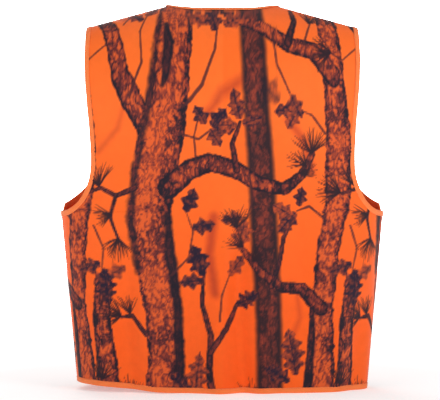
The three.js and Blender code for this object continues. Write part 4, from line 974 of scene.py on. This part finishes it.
def makePocket(hand, side):
    # returns its seams: two rows down the sides and along the foot, and one under the mouth
    s, t = np.meshgrid(np.linspace(0, 1, pocketMake["columns"]), np.linspace(0, 1, pocketMake["rows"]))
    corner, height = pocketMake["corner"], t * pocketMake["height"]
    arc = corner - np.sqrt(np.clip(corner ** 2 - (corner - height) ** 2, 0, None))
    cutIn = np.where(height < corner, arc, 0) * pocketMake["cornerShare"]
    across = cutIn + s * (pocketMake["width"] - 2 * cutIn)
    p = (pocketStart + across / quarterGirth) * side
    sag = pocketMake["sag"] * np.sin(np.pi * s) ** 0.6 * np.sin(np.pi * np.clip(t * 1.05, 0, 1)) ** 0.6
    low = pocketMake["seat"] + sag
    piece = makePatch("pocket_cloth_" + hand, front, p, pocketMake["bottom"] + height, low,
                      low + pocketMake["thick"], printedPolyester, pocketMake["shifts"][hand])
    declare(piece, "vest", "pocket_" + hand)
    rows, surfaceLift = [], pocketMake["seat"] + pocketMake["thick"]
    for gap in pocketMake["seamInsets"]:
        left, right = pocketStart + gap / quarterGirth, pocketEnd - gap / quarterGirth
        footP = np.linspace(left + pocketMake["corner"], right - pocketMake["corner"], 60)
        foot = pocketMake["bottom"] + gap
        down = np.linspace(pocketTop - 0.003, foot + 0.005, 60)
        edgeP = np.concatenate([np.full(60, left), footP, np.full(60, right)])
        edgeV = np.concatenate([down, np.full(60, foot), down[::-1]])
        rows.append((lineOn(front, edgeP * side, edgeV, surfaceLift + 0.0003), False))
    inset = pocketMake["seamInsets"][0] / quarterGirth
    mouthP = np.linspace(pocketStart + inset, pocketEnd - inset, 90) * side
    mouthV = np.full(90, pocketTop - pocketMake["mouthSeam"])
    rows.append((lineOn(front, mouthP, mouthV, surfaceLift + pocketMake["sag"] * 0.25 + 0.0008), False))
    return rows


def flapLift(v):
    # sewn down at its top edge, then standing off over the snap
    knee, rest = pocketTop + 0.002, flapMake["endLift"] - flapMake["topLift"] - flapMake["kneeLift"]
    lift = flapMake["topLift"] + flapMake["kneeLift"] * smooth(flapTop, knee, v)
    return lift + rest * smooth(knee, flapBottom + 0.020, v)


def flapNip(t):
    # the lower corners are drawn in, t from the top edge down
    return flapMake["nip"] * smooth(0.75, 1.0, t) / quarterGirth


def makeFlap(hand, side):
    # returns its seams: two rows round the free edges and two along the top
    t, s = np.meshgrid(
        np.linspace(0, 1, flapMake["rows"]), np.linspace(0, 1, pocketMake["columns"]), indexing="ij")
    v = flapTop + (flapBottom - flapTop) * t
    left = pocketStart - flapMake["side"] / quarterGirth
    right = pocketEnd + flapMake["side"] / quarterGirth
    p = (left + flapNip(t) + s * (right - left - 2 * flapNip(t))) * side
    piece = makePatch("flap_cloth_" + hand, front, p, v, flapLift(v), flapLift(v) + flapMake["thick"],
                      printedPolyester, flapMake["shifts"][hand], every=3)
    declare(piece, "flap_" + hand, "pocket_flap_" + hand)
    lines = []
    for gap in flapMake["seamInsets"]:
        down = np.linspace(flapTop - 0.003, flapBottom + gap, 30)
        inset = gap / quarterGirth + flapNip((flapTop - down) / (flapTop - flapBottom))
        foot = np.linspace((left + inset)[-1], (right - inset)[-1], 60)
        edgeP = np.concatenate([left + inset, foot, (right - inset)[::-1]])
        lines.append((edgeP, np.concatenate([down, np.full(60, flapBottom + gap), down[::-1]])))
    topInset = flapMake["topInset"] / quarterGirth
    for gap in flapMake["topSeams"]:
        lines.append((np.linspace(left + topInset, right - topInset, 80), np.full(80, flapTop - gap)))
    over = flapMake["thick"] + 0.00015
    return [(lineOn(front, p * side, v, flapLift(v) + over), False) for p, v in lines]


flapStitches = {}
for hand, side in hands:
    seams += makePocket(hand, side)
    flapStitches[hand] = makeFlap(hand, side)
print("pockets and flaps sewn on")

# zip tapes behind the front edges, metres
zipMake = {
    "outer": 0.015, "inner": 0.0040, "middle": -0.11315, "thick": 0.0007, "bottom": 0.0104, "top": 0.5795,
    "flat": (0.011, 0.569), "seamInsets": (0.0022, 0.0065), "pitch": 0.0030, "toothHigh": 0.0019,
    "railGap": 0.00062, "reach": 0.0018, "deep": 0.0022, "bead": 0.0013, "endGap": 0.0012,
}


def makeZipTape(hand, side):
    # returns the two seams that hold it behind the front's edge
    across = np.linspace(zipMake["inner"], zipMake["outer"], 12)
    gx, gz = np.meshgrid(across, np.linspace(zipMake["bottom"], zipMake["top"], 190))
    wave = 0.00008 * np.sin(gx * 5200) + 0.00006 * np.sin(gz * 900)
    outer = np.stack([gx * side, zipMake["middle"] - zipMake["thick"] / 2 + wave, gz], axis=-1)
    inner = np.stack([gx * side, np.full(gx.shape, zipMake["middle"] + zipMake["thick"] / 2), gz], axis=-1)
    piece = closedSheet("zip_tape_" + hand, outer, inner, np.stack([gx, gz], axis=-1), zipTapeCloth, every=3)
    declare(piece, "vest", "zipper_tape_" + hand)
    height = np.linspace(0.012, 0.576, 220)
    places = [fractionAt((bodyCut["zipHalf"] + gap) / halfWidthAt(height)) for gap in zipMake["seamInsets"]]
    return [(lineOn(front, p * side, height, 0.0008), False) for p in places]


for hand, side in hands:
    seams += makeZipTape(hand, side)
print("zip tapes in")

# the blank label inside the neck, metres: its stitches run 2 mm inside its edges
labelMake = {"width": 0.054, "height": 0.036, "belowNeck": 0.056, "stand": 0.0021, "thick": 0.0006,
             "flat": (0.054, 0.052), "inset": 0.002}


def makeLabel():
    s, t = np.meshgrid(np.linspace(-0.5, 0.5, 60), np.linspace(0, 1, 44))
    top = neckHeight(back, np.array([0.0]))[0] - labelMake["belowNeck"]
    low = labelMake["stand"] + 0.0002 * np.sin(s * 22) * np.sin(t * 5)
    label = makePatch("label", back, s * labelMake["width"] / quarterGirth, top - t * labelMake["height"],
                      -low - labelMake["thick"], -low, labelSatin, every=3)
    declare(label, "vest", "neck_label")
    half, near = labelMake["width"] / 2 - labelMake["inset"], labelMake["inset"]
    far = labelMake["height"] - labelMake["inset"]
    across = [np.linspace(-half, half, 40), np.full(20, half), np.linspace(half, -half, 40),
              np.full(20, -half)]
    down = [np.full(40, near), np.linspace(near, far, 20), np.full(40, far), np.linspace(far, near, 20)]
    behind = -(labelMake["stand"] + labelMake["thick"] + 0.0003)
    return [(lineOn(back, np.concatenate(across) / quarterGirth, top - np.concatenate(down), behind), False)]


# tape over each shoulder seam on the inside, metres: it covers 6.6 mm of each panel
shoulderMake = {"fromNeck": 0.0088, "fromTip": 0.0098, "reach": 0.0066, "near": 0.0024, "far": 0.0032,
                "seams": ((back, 0.0045), (front, 0.0045), (back, 0.0012)), "seamLift": 0.00075}


def belowRidge(face, p, drop):
    # height along a panel at a drop below the shoulder's ridge, measured over the cloth
    sx, sy = section(turnAt(p))
    start = roundHeightAt(face, p)
    rise = ridgeAt(sx * bodyCut["chestHalf"]) - start
    return start + rise - drop * rise * 2 / (np.pi * depthAt(face, start) * sy)


def makeShoulderTape(hand, side):
    # returns the shoulder's seams and the side's two rows of stitches
    startP = fractionAt((bodyCut["neckHalf"] + shoulderMake["fromNeck"]) / bodyCut["chestHalf"])
    endP = fractionAt((bodyCut["shoulderHalf"] - shoulderMake["fromTip"]) / bodyCut["chestHalf"])
    p = np.linspace(startP, endP, 70)[None, :] * side
    outer, inner = [], []
    for face, order in ((front, np.linspace(1, 0, 7)), (back, np.linspace(0, 1, 7)[1:])):
        v = belowRidge(face, p, shoulderMake["reach"] * order[:, None])
        place, normal = surfaceFrame(face, np.broadcast_to(p, v.shape), v)
        outer.append(place - normal * shoulderMake["near"])
        inner.append(place - normal * shoulderMake["far"])
    outer, inner = np.concatenate(outer), np.concatenate(inner)
    across = np.arange(outer.shape[0])[:, None] * shoulderMake["reach"] / 6
    uv = np.stack(np.broadcast_arrays(across, p * quarterGirth), axis=-1)
    piece = closedSheet("shoulder_tape_" + hand, outer, inner, uv, bindingTape, every=1)
    declare(piece, "vest", "shoulder_seam_tape_" + hand)
    line, rows = np.linspace(startP, endP, 110), []
    for face, gap in shoulderMake["seams"]:
        v = belowRidge(face, line, gap)
        rows.append((lineOn(face, line * side, v, shoulderMake["seamLift"]), False))
    height = np.linspace(0.012, 0.306, 160)
    sideP = np.full(160, 1 - shoulderMake["seams"][0][1] / quarterGirth) * side
    return rows + [(lineOn(face, sideP, height, shoulderMake["seamLift"]), False) for face in (back, front)]


seams += makeLabel()
for hand, side in hands:
    seams += makeShoulderTape(hand, side)
print("label and seam tapes in")

# hang loop, metres: a flat tape in a soft U with rounded corners, whose legs start just under the neck tape
loopMake = {"half": 0.0225, "drop": 0.0265, "band": 0.007, "thick": 0.0009, "corner": 0.006, "start": 0.0014,
            "leg": 0.003}


def makeLoop():
    low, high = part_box("hang_loop")
    half, drop, corner = loopMake["half"], loopMake["drop"], loopMake["corner"]
    turns = np.linspace(0, np.pi / 2, 9)
    leg = [(-half, -loopMake["start"])]
    leg += [(-half, -k) for k in np.linspace(loopMake["leg"], drop - corner, 6)]
    bend = [(corner - half - corner * math.cos(a), corner - drop - corner * math.sin(a)) for a in turns]
    foot = [(x, -drop) for x in np.linspace(corner - half, half - corner, 14)[1:-1]]
    mirrored = [(-x, z) for x, z in (leg[:-1] + bend)[::-1]]
    run = np.array(leg + bend[1:] + foot + mirrored)
    heading = np.gradient(run, axis=0)
    heading /= np.linalg.norm(heading, axis=1, keepdims=True)
    sideways = np.stack([-heading[:, 1], heading[:, 0]], axis=1)
    widths = np.linspace(-0.5, 0.5, 9) * loopMake["band"]
    flat = run[:, None, :] + sideways[:, None, :] * widths[None, :, None]
    along = np.concatenate([[0], np.cumsum(np.linalg.norm(np.diff(run, axis=0), axis=1))])
    middle = (low[1] + high[1]) / 2 + 0.0002 * np.sin(along * 700)[:, None] * np.cos(widths * 400)[None, :]
    faces = [np.stack([flat[..., 0], middle + off, flat[..., 1] + high[2]], axis=-1)
             for off in (-loopMake["thick"] / 2, loopMake["thick"] / 2)]
    uv = np.stack(np.broadcast_arrays(widths[None, :], along[:, None]), axis=-1)
    piece = closedSheet("loop_tape", *faces, uv, bindingTape, every=1)
    declare(piece, "loop", "hang_loop")


makeLoop()
print("hang loop made")


def repeatTree(name, build, sizes):
    # a node tree with named inputs whose build function ends in its last socket
    tree = bpy.data.node_groups.new(name, "GeometryNodeTree")
    for way in ("INPUT", "OUTPUT"):
        tree.interface.new_socket("Geometry", in_out=way, socket_type="NodeSocketGeometry")
    sockets = {}
    for label in sizes:
        socket = tree.interface.new_socket(label, in_out="INPUT", socket_type="NodeSocketFloat")
        sockets[label] = socket.identifier
    source = tree.nodes.new("NodeGroupInput")
    target = tree.nodes.new("NodeGroupOutput")
    tree.links.new(build(tree, source), target.inputs[0])
    return tree, sockets


def spacedSpots(tree, source):
    # places every pitch along the guide lines
    path = addNode(tree, "GeometryNodeMeshToCurve", None, {"Mesh": source.outputs["Geometry"]})
    return addNode(tree, "GeometryNodeCurveToPoints", {"mode": "LENGTH"}, {
        "Curve": path.outputs[0], "Length": source.outputs["Pitch"]})


def stitchNodes(tree, source):
    # one small bead of thread every pitch along the seam, laid in line with it
    spots = spacedSpots(tree, source)
    bead = addNode(tree, "GeometryNodeMeshIcoSphere", {"Subdivisions": 1, "Radius": 1.0})
    shape = addNode(tree, "ShaderNodeCombineXYZ", None, {
        "X": source.outputs["Thread"], "Y": source.outputs["Thread"], "Z": source.outputs["Stitch"]})
    drawn = addNode(tree, "GeometryNodeTransform", None, {
        "Geometry": bead.outputs[0], "Scale": shape.outputs[0]})
    placed = addNode(tree, "GeometryNodeInstanceOnPoints", None, {
        "Points": spots.outputs["Points"], "Instance": drawn.outputs[0],
        "Rotation": spots.outputs["Rotation"]})
    real = addNode(tree, "GeometryNodeRealizeInstances", None, {"Geometry": placed.outputs[0]})
    made = addNode(tree, "GeometryNodeSetMaterial", {"Material": sewingThread}, {"Geometry": real.outputs[0]})
    return made.outputs[0]


def toothNodes(tree, source):
    # one moulded tooth every pitch up the bead, its tip narrower than its root
    spots = spacedSpots(tree, source)
    tooth = addNode(tree, "GeometryNodeMeshCone", {
        "Vertices": 8, "Side Segments": 1, "Fill Segments": 1, "Radius Top": 0.72, "Radius Bottom": 1.0,
        "Depth": 2.0})
    shape = addNode(tree, "ShaderNodeCombineXYZ", None, {
        "X": source.outputs["Half height"], "Y": source.outputs["Half depth"],
        "Z": source.outputs["Half reach"]})
    drawn = addNode(tree, "GeometryNodeTransform", None, {
        "Geometry": tooth.outputs[0], "Scale": shape.outputs[0]})
    angle = addNode(tree, "ShaderNodeCombineXYZ", None, {"Y": source.outputs["Turn"]})
    turned = addNode(tree, "GeometryNodeTransform", None, {
        "Geometry": drawn.outputs[0], "Rotation": angle.outputs[0]})
    placed = addNode(tree, "GeometryNodeInstanceOnPoints", None, {
        "Points": spots.outputs["Points"], "Instance": turned.outputs[0]})
    real = addNode(tree, "GeometryNodeRealizeInstances", None, {"Geometry": placed.outputs[0]})
    made = addNode(tree, "GeometryNodeSetMaterial", {
        "Material": mouldedAcetal}, {"Geometry": real.outputs[0]})
    return made.outputs[0]


def growAlong(name, lines, tree, sockets, values):
    # runs the node tree over the given lines and keeps the plain mesh
    points, edges = [], []
    for line, closed in lines:
        start = len(points)
        points += [tuple(q) for q in line]
        edges += [(start + k, start + k + 1) for k in range(len(line) - 1)]
        if closed:
            edges.append((start + len(line) - 1, start))
    guide = bpy.data.meshes.new(name + "Guide")
    guide.from_pydata(points, edges, [])
    piece = bpy.data.objects.new(name, guide)
    bpy.context.scene.collection.objects.link(piece)
    modifier = piece.modifiers.new("repeat", "NODES")
    modifier.node_group = tree
    for label, value in values.items():
        modifier[sockets[label]] = value
    result = bpy.data.meshes.new_from_object(piece.evaluated_get(bpy.context.evaluated_depsgraph_get()))
    piece.modifiers.clear()
    piece.data = result
    result.name = name
    result.polygons.foreach_set("use_smooth", np.full(len(result.polygons), True))
    return piece


# stitches 3.1 mm apart, each a bead of thread; sizes are half lengths, metres
threadSize = {"Pitch": 0.0031, "Stitch": 0.00112, "Thread": 0.00034}
stitchTree, stitchSockets = repeatTree("stitchRow", stitchNodes, threadSize)
stitching = growAlong("stitching", seams, stitchTree, stitchSockets, threadSize)
declare(stitching, "vest")
for hand, _ in hands:
    piece = growAlong("flap_stitching_" + hand, flapStitches[hand], stitchTree, stitchSockets, threadSize)
    declare(piece, "flap_" + hand)
print("stitched", len(stitching.data.polygons), "faces")


def toothSize(side):
    halves = {"Half height": zipMake["toothHigh"] / 2, "Half depth": zipMake["deep"] / 2,
              "Half reach": zipMake["reach"] / 2}
    return {"Pitch": zipMake["pitch"], **halves, "Turn": -math.pi / 2 * side}


toothTree, toothSockets = repeatTree("zipTeeth", toothNodes, toothSize(1))
for hand, side in hands:
    # the left row starts half a pitch higher than the right one
    low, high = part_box("zipper_teeth_" + hand)
    startZ = low[2] + zipMake["endGap"] + (zipMake["pitch"] / 2 if side > 0 else 0.0)
    x = (zipMake["railGap"] + zipMake["reach"] / 2) * side
    line = [(x, zipMake["middle"], z) for z in (startZ, high[2] - zipMake["endGap"])]
    teeth = growAlong("zip_teeth_" + hand, [(line, False)], toothTree, toothSockets, toothSize(side))
    # the moulded bead that the teeth stand on
    turns = np.linspace(0, 2 * np.pi, 12, endpoint=False)
    ring = [(math.cos(a) * zipMake["bead"] / 2, math.sin(a) * zipMake["bead"] * 0.85) for a in turns]
    beadX = zipMake["railGap"] + zipMake["reach"] + zipMake["bead"] / 2 - 0.0002
    heights = np.linspace(low[2], high[2], 60)
    points = [((beadX + a) * side, zipMake["middle"] + b, z) for z in heights for a, b in ring]
    faces = [tuple(f) for f in gridFaces(len(heights), len(ring), 0, True).tolist()]
    faces += [tuple(range(len(ring)))[::-1], tuple(range(len(points) - len(ring), len(points)))]
    if side < 0:
        faces = [f[::-1] for f in faces]
    bead = makePiece("zip_bead_" + hand, points, faces, mouldedAcetal)
    declare(teeth, "vest", "zipper_teeth_" + hand)
    declare(bead, "vest")
print("zip teeth set")

# hardware that keeps its exact shape
finishes = {"slider_body": enamelledZinc, "pull_tab": enamelledZinc, "insertion_pin": mouldedAcetal,
            "retainer_box": mouldedAcetal, "top_stop_left": enamelledZinc, "top_stop_right": enamelledZinc}
for part in ("cap", "socket", "stud"):
    for hand, _ in hands:
        finishes["snap_" + part + "_" + hand] = enamelledZinc
for node, finish in finishes.items():
    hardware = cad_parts[node]
    for slotHere in hardware.material_slots:
        slotHere.material = finish
    if not hardware.material_slots:
        hardware.data.materials.append(finish)
print("hardware finished")

# a round sheet of matt white paper with a painted glow, for paper gives no light of its own: it glows more
# towards its rim so that it melts into the white surround
stage = {"radius": 5.0, "sides": 96, "near": 0.5, "far": 1.8, "glow": 0.34, "rimGlow": 1.3}
rim = [(stage["radius"] * math.cos(a), stage["radius"] * math.sin(a), 0)
       for a in np.linspace(0, 2 * math.pi, stage["sides"], endpoint=False)]
floorData = bpy.data.meshes.new("floor")
floorData.from_pydata(rim, [], [tuple(range(stage["sides"]))])
floor = bpy.data.objects.new("floor", floorData)
bpy.context.scene.collection.objects.link(floor)
glowingFloorPaper, tree, surface = newMaterial("mattWhitePaperPaintedGlow", {
    "Roughness": 0.9, "Base Color": toLinear("#f6f6f6"), "Emission Color": (1, 1, 1, 1)})
place = addNode(tree, "ShaderNodeTexCoord")
away = addNode(tree, "ShaderNodeVectorMath", {"operation": "LENGTH"}, {0: place.outputs["Object"]})
# the painted glow: weak near the middle, where it lights the vest a little from below, and strong towards the
# rim
glow = addNode(tree, "ShaderNodeMapRange", {
    "From Min": stage["near"], "From Max": stage["far"], "To Min": stage["glow"],
    "To Max": stage["rimGlow"]}, {"Value": away.outputs["Value"]})
tree.links.new(glow.outputs[0], surface.inputs["Emission Strength"])
floorData.materials.append(glowingFloorPaper)

# the white surround is brighter to the camera than the light that it gives
world = bpy.data.worlds.new("studio")
world.use_nodes = True
ambient = world.node_tree.nodes["Background"]
ambient.inputs["Color"].default_value = (1, 1, 1, 1)
ambient.inputs["Strength"].default_value = 0.42
surround = addNode(world.node_tree, "ShaderNodeBackground", {"Color": (1, 1, 1, 1), "Strength": 6.0})
rays = addNode(world.node_tree, "ShaderNodeLightPath")
either = addNode(world.node_tree, "ShaderNodeMixShader", None, {
    0: rays.outputs["Is Camera Ray"], 1: ambient.outputs[0], 2: surround.outputs[0]})
world.node_tree.links.new(either.outputs[0], world.node_tree.nodes["World Output"].inputs[0])
bpy.context.scene.world = world
lamps = {
    "behind": {"at": (-2.0, 2.1, 1.4), "size": 1.0, "power": 21},
    "behindLow": {"at": (1.6, 2.2, 0.9), "size": 1.6, "power": 10},
    "front": {"at": (0.8, -2.6, 1.6), "size": 1.6, "power": 24},
    "top": {"at": (0, 0, 2.6), "size": 1.4, "power": 8},
}
lampAim = Vector((0, 0, 0.35))
for name, lamp in lamps.items():
    data = bpy.data.lights.new(name, "AREA")
    data.size = lamp["size"]
    data.energy = lamp["power"]
    light = bpy.data.objects.new(name, data)
    light.location = lamp["at"]
    light.rotation_euler = (lampAim - Vector(lamp["at"])).to_track_quat("-Z", "Y").to_euler()
    bpy.context.scene.collection.objects.link(light)
bpy.context.scene.view_settings.view_transform = "Standard"
print("studio lit")
